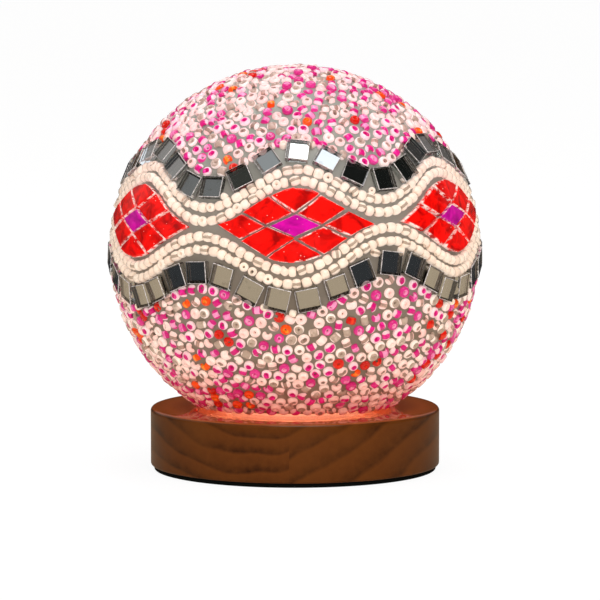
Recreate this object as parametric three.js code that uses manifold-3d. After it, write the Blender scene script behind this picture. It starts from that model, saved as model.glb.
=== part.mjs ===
// Mosaic glass table lamp: a glass globe set with beads, mirror tiles and coloured lozenges, lifted
// off a round wooden base that holds a rechargeable LED light.
// Millimetres, +Z up, front of the lamp towards -Y. The origin is the middle of the underside.

import * as THREE from "three";
import { mergeVertices } from "three/addons/utils/BufferGeometryUtils.js";
import Module from "manifold-3d";

const wasm = await Module();
wasm.setup();

// ---------------------------------------------------------------- driving dimensions

const GAP = 0.3; // running gap between pieces that meet

const PAD_RADIUS = 49.3;
const PAD_HEIGHT = 1.5;

const WOOD_RADIUS = 50.5;
const WOOD_HEIGHT = 20.3;
const WOOD_TOP_ROUND = 1.3;
const WOOD_FOOT_ROUND = 1.0;

const POCKET_RADIUS = 28.3; // socket in the top of the wood that takes the globe's neck
const POCKET_DEPTH = 5.5;
const WEB_THICKNESS = 3.0; // wood left between the socket and the cavity below
const CAVITY_RADIUS = 39.5;

const COVER_RADIUS = 44.7;
const COVER_THICKNESS = 1.5;
const COVER_SCREW_CIRCLE = 42.1;

const BEAD_ENVELOPE = 65.0; // radius to the tops of the beads
const GLOBE_HEIGHT = 55.0; // globe centre above the wood's top face
const GLASS_RADIUS = 60.6;
const GLASS_THICKNESS = 2.4;
const NECK_RADIUS = 26.4;
const NECK_LENGTH = 5.0;

const BED_INNER = GLASS_RADIUS + GAP; // adhesive bed that the mosaic is pressed into
const BED_OUTER = 61.7;
const MOSAIC_INNER = 62.1;
const TILE_OUTER = 64.6;
const BED_FOOT_LATITUDE = -56.5;
const BEAD_FOOT_LATITUDE = -55.0;

const LOZENGE_COUNT = 6;
const LOZENGE_LATITUDE = 12.3;
const LOZENGE_HALF_WIDTH = 24.3; // degrees of azimuth
const LOZENGE_HALF_HEIGHT = 10.6; // degrees of latitude
const LOZENGE_TILE_GAP = 0.07; // share of the lozenge's half side

const ROW_HALF_WIDTH = 1.7; // degrees of latitude, one string of beads
const MIRROR_HALF_WIDTH = 3.4; // degrees of latitude, one mirror tile
const FIELD_INNER = 62.6; // inside of the fields of loose-set beads
const FIELD_CLEARANCE = 0.8; // degrees of latitude between a bead field and the mirror tiles
const MIRROR_TILES_UPPER = 36;
const MIRROR_TILES_LOWER = 40;

const BASE_SEGMENTS = 48;
const GLOBE_SEGMENTS = 36;
const GLOBE_STEPS = 10; // from the pole down to the foot of the adhesive bed
const WAVE_SEGMENTS = 48;

const DIFFUSER_RADIUS = 23.4;
const DIFFUSER_THICKNESS = 1.5;
const DIFFUSER_HEIGHT = 11.0;
const LED_BOARD_RADIUS = 21.3;
const LED_COUNT = 6;
const LED_CIRCLE = 12.0;
const BOARD_THICKNESS = 1.2;

const BATTERY = { width: 50, depth: 34, height: 6, y: -10 };
const TAPE_THICKNESS = 0.8;

const CHARGE_BOARD = { width: 30, front: 30.0, back: 43.0 };
const BOSS_HEIGHT = 2.0; // posts on the cover that carry the charging board

const USB = { x: -7, width: 8.9, height: 3.2, depth: 7.3, wall: 0.35 };
const SWITCH = { x: 8, width: 8, depth: 7, height: 6 };
const BUTTON_RADIUS = 2.6;
const BUTTON_COLLAR = 0.7; // how far the collar stands out from the button
const BUTTON_TRAVEL = 0.8;

const PLATE = { width: 32.4, height: 8.0, thickness: 2.0, outerFace: 47.4 };

const WIRE_RADIUS = 0.6;

// heights worked out from the sizes above
const WOOD_FOOT = PAD_HEIGHT;
const WOOD_TOP = WOOD_FOOT + WOOD_HEIGHT;
const POCKET_FLOOR = WOOD_TOP - POCKET_DEPTH;
const CAVITY_ROOF = POCKET_FLOOR - WEB_THICKNESS;
const COVER_TOP = WOOD_FOOT + COVER_THICKNESS;
const CHARGE_BOARD_FOOT = COVER_TOP + BOSS_HEIGHT;
const CHARGE_BOARD_TOP = CHARGE_BOARD_FOOT + BOARD_THICKNESS;
const LED_BOARD_TOP = POCKET_FLOOR + BOARD_THICKNESS;
const GLOBE_CENTRE = WOOD_TOP + GLOBE_HEIGHT;
const PLATE_FOOT = CHARGE_BOARD_FOOT - 0.5;
const PLATE_INNER_FACE = PLATE.outerFace - PLATE.thickness;
const USB_MIDDLE = CHARGE_BOARD_TOP + USB.height / 2;
const BUTTON_MIDDLE = CHARGE_BOARD_TOP + SWITCH.height / 2;
const SWITCH_BACK = 42.0;

// ---------------------------------------------------------------- materials

const material = (color, roughness, metalness = 0) =>
  new THREE.MeshStandardMaterial({ color, roughness, metalness });

const darkWood = material(0x5a351b, 0.4);
const blackFoam = material(0x060706, 0.9);
const blackPlastic = material(0x1a1a1a, 0.55);
const steel = material(0xb4b6b8, 0.3, 1);
const greenBoard = material(0x1d5a34, 0.5);
const whiteBoard = material(0xe9e9e4, 0.5);
const ledFace = material(0xffd9a0, 0.3);
const opal = material(0xf4f1ea, 0.35);
const silicone = material(0x2b2b2b, 0.7);
const clearGlass = material(0xe8efec, 0.05);
const greyBed = material(0x9a9289, 0.6);
const pinkBead = material(0xe9c2cd, 0.12);
const ivoryBead = material(0xf0e1cd, 0.25);
const mirror = material(0xc9ced2, 0.05, 1);
const redGlass = material(0xf01008, 0.1);
const magentaGlass = material(0xd61ac4, 0.1);
const batteryFoil = material(0x8f9aa6, 0.4, 0.3);
const tapeFoam = material(0xe0dfda, 0.9);
const redWire = material(0xb31b1b, 0.5);
const blackWire = material(0x151515, 0.5);

// ---------------------------------------------------------------- geometry helpers

const radians = THREE.MathUtils.degToRad;

/** Joins the corners that triangles share, so that a geometry is one connected surface. */
function welded(geometry) {
  const bare = geometry.clone();
  bare.deleteAttribute("normal");
  bare.deleteAttribute("uv");
  return mergeVertices(bare, 1e-4);
}

/** Turns a closed geometry inside out if its faces point inwards. */
function facingOut(geometry) {
  const place = geometry.getAttribute("position");
  const index = geometry.getIndex().array;
  const corner = [new THREE.Vector3(), new THREE.Vector3(), new THREE.Vector3()];
  let volume = 0;
  for (let i = 0; i < index.length; i += 3) {
    corner.forEach((point, k) => point.fromBufferAttribute(place, index[i + k]));
    volume += corner[0].dot(corner[1].cross(corner[2])) / 6;
  }
  if (volume < 0) {
    for (let i = 0; i < index.length; i += 3) {
      [index[i + 1], index[i + 2]] = [index[i + 2], index[i + 1]];
    }
  }
  return geometry;
}

/** Drops the triangles that welding has closed up, such as those at a pole. */
function withoutSlivers(geometry) {
  const index = geometry.getIndex().array;
  const kept = [];
  for (let i = 0; i < index.length; i += 3) {
    const [a, b, c] = [index[i], index[i + 1], index[i + 2]];
    if (a !== b && b !== c && a !== c) kept.push(a, b, c);
  }
  geometry.setIndex(kept);
  return geometry;
}

const closedSolid = (geometry) => facingOut(withoutSlivers(welded(geometry)));

function toManifold(geometry) {
  const solid = closedSolid(geometry);
  return new wasm.Manifold(
    new wasm.Mesh({
      numProp: 3,
      vertProperties: new Float32Array(solid.getAttribute("position").array),
      triVerts: new Uint32Array(solid.getIndex().array),
    })
  );
}

function fromManifold(solid) {
  const mesh = solid.getMesh();
  const geometry = new THREE.BufferGeometry();
  geometry.setAttribute("position", new THREE.BufferAttribute(mesh.vertProperties, 3));
  geometry.setIndex(Array.from(mesh.triVerts));
  return geometry;
}

/** The body with every tool cut out of it. */
function cut(body, ...tools) {
  return fromManifold(tools.reduce((rest, tool) => rest.subtract(toManifold(tool)), toManifold(body)));
}

/** The pieces joined into one body. */
function join(...pieces) {
  return fromManifold(pieces.map(toManifold).reduce((whole, piece) => whole.add(piece)));
}

/** A solid turned about Z from [radius, height] points. */
function turned(profile, segments) {
  const points = profile.map(([radius, height]) => new THREE.Vector2(radius, height));
  return closedSolid(new THREE.LatheGeometry(points, segments).rotateX(Math.PI / 2));
}

/** An upright disc or rod between two heights. */
function rod(radius, low, high, segments, x = 0, y = 0) {
  const geometry = new THREE.CylinderGeometry(radius, radius, high - low, segments);
  return geometry.rotateX(Math.PI / 2).translate(x, y, (low + high) / 2);
}

/** A rod lying along Y. */
function rodAlongY(radius, near, far, segments, x, z) {
  const geometry = new THREE.CylinderGeometry(radius, radius, far - near, segments);
  return geometry.translate(x, (near + far) / 2, z);
}

function block([x0, y0, z0], [x1, y1, z1]) {
  const geometry = new THREE.BoxGeometry(x1 - x0, y1 - y0, z1 - z0);
  return geometry.translate((x0 + x1) / 2, (y0 + y1) / 2, (z0 + z1) / 2);
}

/** A rounded rectangle in X and Z, drawn out along Y. */
function roundedBar(width, height, corner, near, far, x, z) {
  const outline = new THREE.Shape();
  const [right, top] = [width / 2, height / 2];
  outline.moveTo(right, top - corner);
  outline.absarc(right - corner, top - corner, corner, 0, Math.PI / 2);
  outline.absarc(corner - right, top - corner, corner, Math.PI / 2, Math.PI);
  outline.absarc(corner - right, corner - top, corner, Math.PI, 1.5 * Math.PI);
  outline.absarc(right - corner, corner - top, corner, 1.5 * Math.PI, 2 * Math.PI);
  const options = { depth: far - near, bevelEnabled: false, curveSegments: 3 };
  const geometry = new THREE.ExtrudeGeometry(outline, options);
  return geometry.rotateX(Math.PI / 2).translate(x, far, z);
}

/** Points of a circular arc in [radius, height], angles in degrees. */
function arcPoints(radius, from, to, steps, centreHeight = 0, centreRadius = 0) {
  return Array.from({ length: steps + 1 }, (_, i) => {
    const angle = radians(from + ((to - from) * i) / steps);
    const across = centreRadius + radius * Math.cos(angle);
    return [Math.abs(across) < 1e-6 ? 0 : across, centreHeight + radius * Math.sin(angle)];
  });
}

/** Latitude, in degrees, at which a sphere is as wide as the given radius, below its equator. */
const lowerLatitude = (sphereRadius, radius) => -THREE.MathUtils.radToDeg(Math.acos(radius / sphereRadius));

/** A point over the globe's centre: azimuth 0 faces -Y and grows towards +X. */
function onGlobe(radius, azimuth, latitude) {
  const flat = radius * Math.cos(radians(latitude));
  const turn = radians(azimuth);
  return [flat * Math.sin(turn), -flat * Math.cos(turn), radius * Math.sin(radians(latitude))];
}

/** A closed ring of cross-sections, each a list of points; the first follows the last. */
function ringSolid(sections) {
  const points = [];
  const across = sections[0].length;
  sections.forEach((section, i) => {
    const next = sections[(i + 1) % sections.length];
    for (let k = 0; k < across; k++) {
      const m = (k + 1) % across;
      points.push(...section[k], ...next[k], ...next[m]);
      points.push(...section[k], ...next[m], ...section[m]);
    }
  });
  return surfaceFrom(points);
}

function surfaceFrom(points) {
  const geometry = new THREE.BufferGeometry();
  geometry.setAttribute("position", new THREE.BufferAttribute(new Float32Array(points), 3));
  return closedSolid(geometry);
}

// ---------------------------------------------------------------- the wavy bands of the mosaic

/** The slight rise and fall of rows that are laid by hand, in degrees. */
const handLaid = (azimuth) => Math.sin(radians(azimuth)) + 0.9 * Math.sin(radians(3 * azimuth));

/** Latitude of a band that rises and falls once for each lozenge. */
const wave = (mean, swing) => (azimuth) =>
  mean + swing * Math.cos(radians(LOZENGE_COUNT * azimuth)) + handLaid(azimuth);

const upperInnerRow = wave(20.5, 6.0);
const upperOuterRow = wave(24.5, 5.8);
const upperMirrors = wave(30.4, 5.7);
const lowerInnerRow = wave(4.2, -5.7);
const lowerOuterRow = wave(0.2, -5.6);
const lowerMirrors = wave(-5.8, -5.0);

/** A skin on the globe between two latitudes, with its outside and its inside in even steps. */
function skin(lowAt, highAt, inner, outer, segments, steps) {
  const sections = Array.from({ length: segments }, (_, i) => {
    const azimuth = (360 * i) / segments;
    const [low, high] = [lowAt(azimuth), highAt(azimuth)];
    const latitudes = Array.from({ length: steps + 1 }, (_, k) => low + ((high - low) * k) / steps);
    const outside = latitudes.map((latitude) => onGlobe(outer, azimuth, latitude));
    const inside = latitudes.map((latitude) => onGlobe(inner, azimuth, latitude)).reverse();
    return [...outside, ...inside];
  });
  return ringSolid(sections);
}

/** One string of beads: a wavy ring with a crowned outside. */
function beadRow(middleAt) {
  const shoulder = (MOSAIC_INNER + BEAD_ENVELOPE) / 2;
  const sections = Array.from({ length: WAVE_SEGMENTS }, (_, i) => {
    const azimuth = (360 * i) / WAVE_SEGMENTS;
    const middle = middleAt(azimuth);
    return [
      onGlobe(MOSAIC_INNER, azimuth, middle - 0.6 * ROW_HALF_WIDTH),
      onGlobe(shoulder, azimuth, middle - ROW_HALF_WIDTH),
      onGlobe(BEAD_ENVELOPE, azimuth, middle),
      onGlobe(shoulder, azimuth, middle + ROW_HALF_WIDTH),
      onGlobe(MOSAIC_INNER, azimuth, middle + 0.6 * ROW_HALF_WIDTH),
    ];
  });
  return ringSolid(sections);
}

/** A wavy band of square mirror tiles, joined by the thin layer of adhesive between them. */
function mirrorBand(middleAt, tiles) {
  const pitch = 360 / tiles;
  const joint = 0.16 * pitch;
  const jointOuter = MOSAIC_INNER + 0.6;
  const section = (azimuth, middle, outer) => [
    onGlobe(MOSAIC_INNER, azimuth, middle - MIRROR_HALF_WIDTH),
    onGlobe(outer, azimuth, middle - MIRROR_HALF_WIDTH),
    onGlobe(outer, azimuth, middle + MIRROR_HALF_WIDTH),
    onGlobe(MOSAIC_INNER, azimuth, middle + MIRROR_HALF_WIDTH),
  ];
  const sections = [];
  for (let i = 0; i < tiles; i++) {
    const start = i * pitch + joint / 2;
    const end = (i + 1) * pitch - joint / 2;
    sections.push(section(start, middleAt(start), jointOuter));
    sections.push(section(start, middleAt(start), TILE_OUTER));
    sections.push(section(end, middleAt(end), TILE_OUTER));
    sections.push(section(end, middleAt(end), jointOuter));
  }
  return ringSolid(sections);
}

// ---------------------------------------------------------------- the coloured lozenges

const LOZENGE_FOOT = MOSAIC_INNER + 0.6; // a flat tile's middle lies lower than its corners
const LOZENGE_LAYER = LOZENGE_FOOT + 0.6; // top of the thin layer between the tiles
const LOZENGE_TILE_SIDE = 2 / 3;

/** Where tile i of a side starts and ends, on a lozenge whose sides run from -1 to 1. */
const tileSpan = (i) => [
  -1 + i * LOZENGE_TILE_SIDE + LOZENGE_TILE_GAP / 2,
  -1 + (i + 1) * LOZENGE_TILE_SIDE - LOZENGE_TILE_GAP / 2,
];

/** A point of the lozenge at this azimuth, u and v along its two sides. */
function onLozenge(azimuth, u, v, radius) {
  const latitude = LOZENGE_LATITUDE + handLaid(azimuth) + (LOZENGE_HALF_HEIGHT * (u - v)) / 2;
  return onGlobe(radius, azimuth + (LOZENGE_HALF_WIDTH * (u + v)) / 2, latitude);
}

/**
 * A stepped plate on a lozenge: a grid of flat-faced cells between the given lines. topOf(i, k) is
 * the radius of a cell's face, or null where the plate has a hole.
 */
function steppedPlate(azimuth, lines, topOf) {
  const cells = lines.length - 1;
  const points = [];
  const quad = (a, b, c, d) => points.push(...a, ...b, ...c, ...a, ...c, ...d);
  const at = (i, k, radius) => onLozenge(azimuth, lines[i], lines[k], radius);
  const level = (i, k) => (i < 0 || k < 0 || i >= cells || k >= cells ? null : topOf(i, k));
  const levels = [LOZENGE_FOOT, LOZENGE_LAYER, TILE_OUTER];

  // the upright wall between a cell and its neighbour, in one piece for each level it passes
  const wall = (top, neighbour, [i0, k0], [i1, k1]) => {
    const from = neighbour ?? LOZENGE_FOOT;
    for (let n = 0; n + 1 < levels.length; n++) {
      const [low, high] = [levels[n], levels[n + 1]];
      if (low >= from && high <= top) {
        quad(at(i0, k0, low), at(i1, k1, low), at(i1, k1, high), at(i0, k0, high));
      }
    }
  };

  for (let i = 0; i < cells; i++) {
    for (let k = 0; k < cells; k++) {
      const top = topOf(i, k);
      if (top === null) continue;
      quad(at(i, k, top), at(i + 1, k, top), at(i + 1, k + 1, top), at(i, k + 1, top));
      quad(
        at(i, k, LOZENGE_FOOT),
        at(i, k + 1, LOZENGE_FOOT),
        at(i + 1, k + 1, LOZENGE_FOOT),
        at(i + 1, k, LOZENGE_FOOT)
      );
      wall(top, level(i, k - 1), [i, k], [i + 1, k]);
      wall(top, level(i + 1, k), [i + 1, k], [i + 1, k + 1]);
      wall(top, level(i, k + 1), [i + 1, k + 1], [i, k + 1]);
      wall(top, level(i - 1, k), [i, k + 1], [i, k]);
    }
  }
  return surfaceFrom(points);
}

/** The eight red tiles of one lozenge, joined edge to edge by the thin layer they are set in. */
function redTiles(azimuth) {
  const lines = [0, 1, 2].flatMap(tileSpan);
  const isTile = (i) => i % 2 === 0;
  const isMiddle = (i) => i === 2;
  return steppedPlate(azimuth, lines, (i, k) => {
    if (isMiddle(i) && isMiddle(k)) return null;
    return isTile(i) && isTile(k) ? TILE_OUTER : LOZENGE_LAYER;
  });
}

function centreTile(azimuth) {
  const [start, end] = tileSpan(1);
  const clearance = 0.03;
  return steppedPlate(azimuth, [start + clearance, end - clearance], () => TILE_OUTER);
}

// ---------------------------------------------------------------- the globe

/** Blown glass globe, open at the neck that stands in the wooden socket. */
function glassGlobe() {
  const innerRadius = GLASS_RADIUS - GLASS_THICKNESS;
  const innerNeck = NECK_RADIUS - GLASS_THICKNESS;
  const outerTurn = lowerLatitude(GLASS_RADIUS, NECK_RADIUS);
  const innerTurn = lowerLatitude(innerRadius, innerNeck);
  const rim = GLASS_RADIUS * Math.sin(radians(outerTurn)) - NECK_LENGTH;
  const profile = [
    ...arcPoints(GLASS_RADIUS, 90, BED_FOOT_LATITUDE, GLOBE_STEPS),
    [NECK_RADIUS, GLASS_RADIUS * Math.sin(radians(outerTurn))],
    [NECK_RADIUS, rim],
    [innerNeck, rim],
    [innerNeck, innerRadius * Math.sin(radians(innerTurn))],
    ...arcPoints(innerRadius, BED_FOOT_LATITUDE, 90, GLOBE_STEPS),
  ];
  return turned(profile, GLOBE_SEGMENTS);
}

function adhesiveBed() {
  const foot = () => BED_FOOT_LATITUDE;
  const pole = () => 90;
  return skin(foot, pole, BED_INNER, BED_OUTER, GLOBE_SEGMENTS, GLOBE_STEPS);
}

function upperBeadField() {
  const edge = (azimuth) => upperMirrors(azimuth) + MIRROR_HALF_WIDTH + FIELD_CLEARANCE;
  const pole = () => 90;
  return skin(edge, pole, FIELD_INNER, BEAD_ENVELOPE, WAVE_SEGMENTS, 4);
}

function lowerBeadField() {
  const foot = () => BEAD_FOOT_LATITUDE;
  const edge = (azimuth) => lowerMirrors(azimuth) - MIRROR_HALF_WIDTH - FIELD_CLEARANCE;
  return skin(foot, edge, FIELD_INNER, BEAD_ENVELOPE, WAVE_SEGMENTS, 4);
}

// ---------------------------------------------------------------- the base

const coverScrewPlaces = [45, 135, 225, 315].map((turn) => [
  COVER_SCREW_CIRCLE * Math.cos(radians(turn)),
  COVER_SCREW_CIRCLE * Math.sin(radians(turn)),
]);
const ledBoardScrewPlaces = [
  [-18, 0],
  [18, 0],
];
const chargeBoardScrewPlaces = [
  [-12.6, 33],
  [12.6, 33],
];
const WIRE_HOLE = { radius: 3.0, y: 14 };

/** Turned wooden base with the neck socket on top, the cavity below and the slot at the back. */
function woodBase() {
  const body = turned(
    [
      [0, WOOD_FOOT],
      ...arcPoints(WOOD_FOOT_ROUND, -90, 0, 2, WOOD_FOOT + WOOD_FOOT_ROUND, WOOD_RADIUS - WOOD_FOOT_ROUND),
      ...arcPoints(WOOD_TOP_ROUND, 0, 90, 2, WOOD_TOP - WOOD_TOP_ROUND, WOOD_RADIUS - WOOD_TOP_ROUND),
      [0, WOOD_TOP],
    ],
    BASE_SEGMENTS
  );
  const over = 1; // how far a cutter runs past the face it cuts
  const pilots = coverScrewPlaces.map(([x, y]) => rod(1.4, WOOD_FOOT, WOOD_FOOT + 9.5, 8, x, y));
  const webPilots = ledBoardScrewPlaces.map(([x, y]) => rod(1.3, CAVITY_ROOF - over, WOOD_TOP, 8, x, y));
  const slotSide = PLATE.width / 2 + GAP;
  const slot = block(
    [-slotSide, 30, PLATE_FOOT - GAP],
    [slotSide, WOOD_RADIUS + over, PLATE_FOOT + PLATE.height + GAP]
  );
  return cut(
    body,
    rod(POCKET_RADIUS, POCKET_FLOOR, WOOD_TOP + over, BASE_SEGMENTS),
    rod(CAVITY_RADIUS, WOOD_FOOT - over, CAVITY_ROOF, BASE_SEGMENTS),
    rod(COVER_RADIUS + GAP, WOOD_FOOT - over, COVER_TOP, BASE_SEGMENTS),
    rod(WIRE_HOLE.radius, CAVITY_ROOF - over, POCKET_FLOOR + over, 8, 0, WIRE_HOLE.y),
    slot,
    ...pilots,
    ...webPilots
  );
}

const basePad = () => rod(PAD_RADIUS, 0, PAD_HEIGHT, BASE_SEGMENTS);

/** Plastic cover under the cavity, with countersunk screw holes and posts for the charging board. */
function bottomCover() {
  const plate = rod(COVER_RADIUS, WOOD_FOOT, COVER_TOP, BASE_SEGMENTS);
  const sunk = new THREE.CylinderGeometry(1.4, 2.5, COVER_THICKNESS, 10).rotateX(Math.PI / 2);
  const sinks = coverScrewPlaces.map(([x, y]) =>
    sunk.clone().translate(x, y, WOOD_FOOT + COVER_THICKNESS / 2)
  );
  const posts = chargeBoardScrewPlaces.map(([x, y]) => rod(2.2, COVER_TOP - 0.5, CHARGE_BOARD_FOOT, 12, x, y));
  const postHoles = chargeBoardScrewPlaces.map(([x, y]) => rod(1.2, COVER_TOP - 0.6, CHARGE_BOARD_TOP, 8, x, y));
  return cut(join(plate, ...posts), ...sinks, ...postHoles);
}

/** Countersunk wood screw, head down, at the origin of its own place. */
function coverScrew() {
  const profile = [
    [0, 0.1],
    [2.1, 0.1],
    [1.05, 1.3],
    [1.05, 8.0],
    [0, 9.2],
  ];
  return turned(profile, 8);
}

/** Small pan-head screw whose head rests at height 0 and whose shank points down. */
function boardScrew(shank) {
  const profile = [
    [0, -shank],
    [0.9, 0.4 - shank],
    [0.9, 0],
    [1.8, 0],
    [1.6, 1.0],
    [0, 1.2],
  ];
  return turned(profile, 8);
}

const screwHoles = (places, low, high) => places.map(([x, y]) => rod(1.2, low, high, 8, x, y));

const ledBoard = () =>
  cut(
    rod(LED_BOARD_RADIUS, POCKET_FLOOR, LED_BOARD_TOP, 24),
    ...screwHoles(ledBoardScrewPlaces, POCKET_FLOOR - 1, LED_BOARD_TOP + 1)
  );

/** One surface-mount light: a square body with a shallow dome of yellow phosphor. */
const ledChip = () => join(block([-1.75, -1.4, 0], [1.75, 1.4, 0.6]), rod(1.2, 0.5, 0.9, 8));

/** Opal dome over the lights, open underneath. */
function diffuser() {
  const wallTop = POCKET_FLOOR + 4.0;
  const domeHeight = POCKET_FLOOR + DIFFUSER_HEIGHT - wallTop;
  const inner = DIFFUSER_RADIUS - DIFFUSER_THICKNESS;
  const dome = (radius, height, from, to) =>
    arcPoints(1, from, to, 4).map(([across, up]) => [across * radius, wallTop + up * height]);
  const profile = [
    [inner, POCKET_FLOOR],
    [DIFFUSER_RADIUS, POCKET_FLOOR],
    ...dome(DIFFUSER_RADIUS, domeHeight, 0, 90),
    ...dome(inner, domeHeight - DIFFUSER_THICKNESS, 90, 0),
    [inner, POCKET_FLOOR],
  ];
  return turned(profile, 24);
}

/** Soft ring of L section that the globe's neck stands in. */
function neckRing() {
  const outer = POCKET_RADIUS - GAP;
  const lip = NECK_RADIUS + GAP;
  const seat = NECK_RADIUS - GLASS_THICKNESS - 0.2;
  const seatTop = GLOBE_CENTRE + GLASS_RADIUS * Math.sin(radians(lowerLatitude(GLASS_RADIUS, NECK_RADIUS)))
    - NECK_LENGTH - GAP;
  const profile = [
    [seat, POCKET_FLOOR],
    [outer, POCKET_FLOOR],
    [outer, WOOD_TOP - GAP],
    [lip, WOOD_TOP - GAP],
    [lip, seatTop],
    [seat, seatTop],
    [seat, POCKET_FLOOR],
  ];
  return turned(profile, 36);
}

/** Panel at the back of the base, with the charging inlet and the button coming through it. */
function rearPlate() {
  const half = PLATE.width / 2;
  const panel = block(
    [-half, PLATE_INNER_FACE, PLATE_FOOT],
    [half, PLATE.outerFace, PLATE_FOOT + PLATE.height]
  );
  const near = PLATE_INNER_FACE - 1;
  const far = PLATE.outerFace + 1;
  const inlet = roundedBar(USB.width + 2 * GAP, USB.height + 2 * GAP, 1.7, near, far, USB.x, USB_MIDDLE);
  const buttonHole = rodAlongY(BUTTON_RADIUS + GAP, near, far, 12, SWITCH.x, BUTTON_MIDDLE);
  return cut(panel, inlet, buttonHole);
}

const chargeBoard = () =>
  cut(
    block(
      [-CHARGE_BOARD.width / 2, CHARGE_BOARD.front, CHARGE_BOARD_FOOT],
      [CHARGE_BOARD.width / 2, CHARGE_BOARD.back, CHARGE_BOARD_TOP]
    ),
    ...screwHoles(chargeBoardScrewPlaces, CHARGE_BOARD_FOOT - 1, CHARGE_BOARD_TOP + 1)
  );

/** USB-C socket: a rounded metal shell, open towards the back, with its tongue inside. */
function usbSocket() {
  const back = PLATE.outerFace - 0.6;
  const front = back - USB.depth;
  const shell = roundedBar(USB.width, USB.height, 1.5, front, back, USB.x, USB_MIDDLE);
  const mouthWidth = USB.width - 2 * USB.wall;
  const mouthHeight = USB.height - 2 * USB.wall;
  const mouth = roundedBar(mouthWidth, mouthHeight, 1.2, front + 1, back + 1, USB.x, USB_MIDDLE);
  const tongue = block(
    [USB.x - 3.3, front + 0.5, USB_MIDDLE - 0.35],
    [USB.x + 3.3, back - 0.8, USB_MIDDLE + 0.35]
  );
  return join(cut(shell, mouth), tongue);
}

const switchBody = () =>
  block(
    [SWITCH.x - SWITCH.width / 2, SWITCH_BACK - SWITCH.depth, CHARGE_BOARD_TOP],
    [SWITCH.x + SWITCH.width / 2, SWITCH_BACK, CHARGE_BOARD_TOP + SWITCH.height]
  );

/** Push button: stem, collar that stops it inside the panel, and the cap that shows. */
function powerButton() {
  const stemEnd = SWITCH_BACK + BUTTON_TRAVEL + GAP;
  const collarFar = PLATE_INNER_FACE - GAP;
  const profile = [
    [0, stemEnd],
    [1.2, stemEnd],
    [1.2, collarFar - 1.0],
    [BUTTON_RADIUS + BUTTON_COLLAR, collarFar - 1.0],
    [BUTTON_RADIUS + BUTTON_COLLAR, collarFar],
    [BUTTON_RADIUS, collarFar],
    [BUTTON_RADIUS, PLATE.outerFace + 1.2],
    [BUTTON_RADIUS - 0.5, PLATE.outerFace + 1.7],
    [0, PLATE.outerFace + 1.9],
  ];
  return turned(profile, 12).rotateX(-Math.PI / 2).translate(SWITCH.x, 0, BUTTON_MIDDLE);
}

const BATTERY_TOP = CAVITY_ROOF - TAPE_THICKNESS;

/** Flat lithium cell with rounded long edges. */
function battery() {
  const near = BATTERY.y - BATTERY.depth / 2;
  const middle = BATTERY_TOP - BATTERY.height / 2;
  return roundedBar(BATTERY.width, BATTERY.height, 1.5, near, near + BATTERY.depth, 0, middle);
}

const batteryTape = () =>
  block([-18, BATTERY.y - 12, BATTERY_TOP], [18, BATTERY.y + 12, CAVITY_ROOF]);

/** Insulated wire along a smooth curve through the given points. */
function wire(points) {
  const path = new THREE.CatmullRomCurve3(points.map((point) => new THREE.Vector3(...point)));
  const section = new THREE.Shape();
  section.absarc(0, 0, WIRE_RADIUS, 0, 2 * Math.PI);
  const options = { steps: 10, curveSegments: 3, extrudePath: path, bevelEnabled: false };
  return closedSolid(new THREE.ExtrudeGeometry(section, options));
}

const WIRE_END = CHARGE_BOARD_TOP + WIRE_RADIUS + 0.2;

const ledWire = (x) =>
  wire([
    [x, WIRE_HOLE.y, POCKET_FLOOR - 0.4],
    [x, WIRE_HOLE.y, CAVITY_ROOF - 2.0],
    [1.3 * x, WIRE_HOLE.y + 6, WIRE_END + 1.4],
    [1.5 * x, CHARGE_BOARD.front - 2, WIRE_END + 0.1],
    [1.5 * x, CHARGE_BOARD.front + 2, WIRE_END],
  ]);

const batteryWire = (x) =>
  wire([
    [x, BATTERY.y + BATTERY.depth / 2 + GAP, BATTERY_TOP - 3.0],
    [x, BATTERY.y + BATTERY.depth / 2 + 7, BATTERY_TOP - 3.2],
    [x + 2, CHARGE_BOARD.front - 6, WIRE_END + 0.6],
    [x + 3, CHARGE_BOARD.front + 1.5, WIRE_END],
  ]);

// ---------------------------------------------------------------- putting the lamp together

function named(name, geometry, finish, [x, y, z] = [0, 0, 0]) {
  const mesh = new THREE.Mesh(geometry, finish);
  mesh.name = name;
  mesh.position.set(x, y, z);
  return mesh;
}

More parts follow.
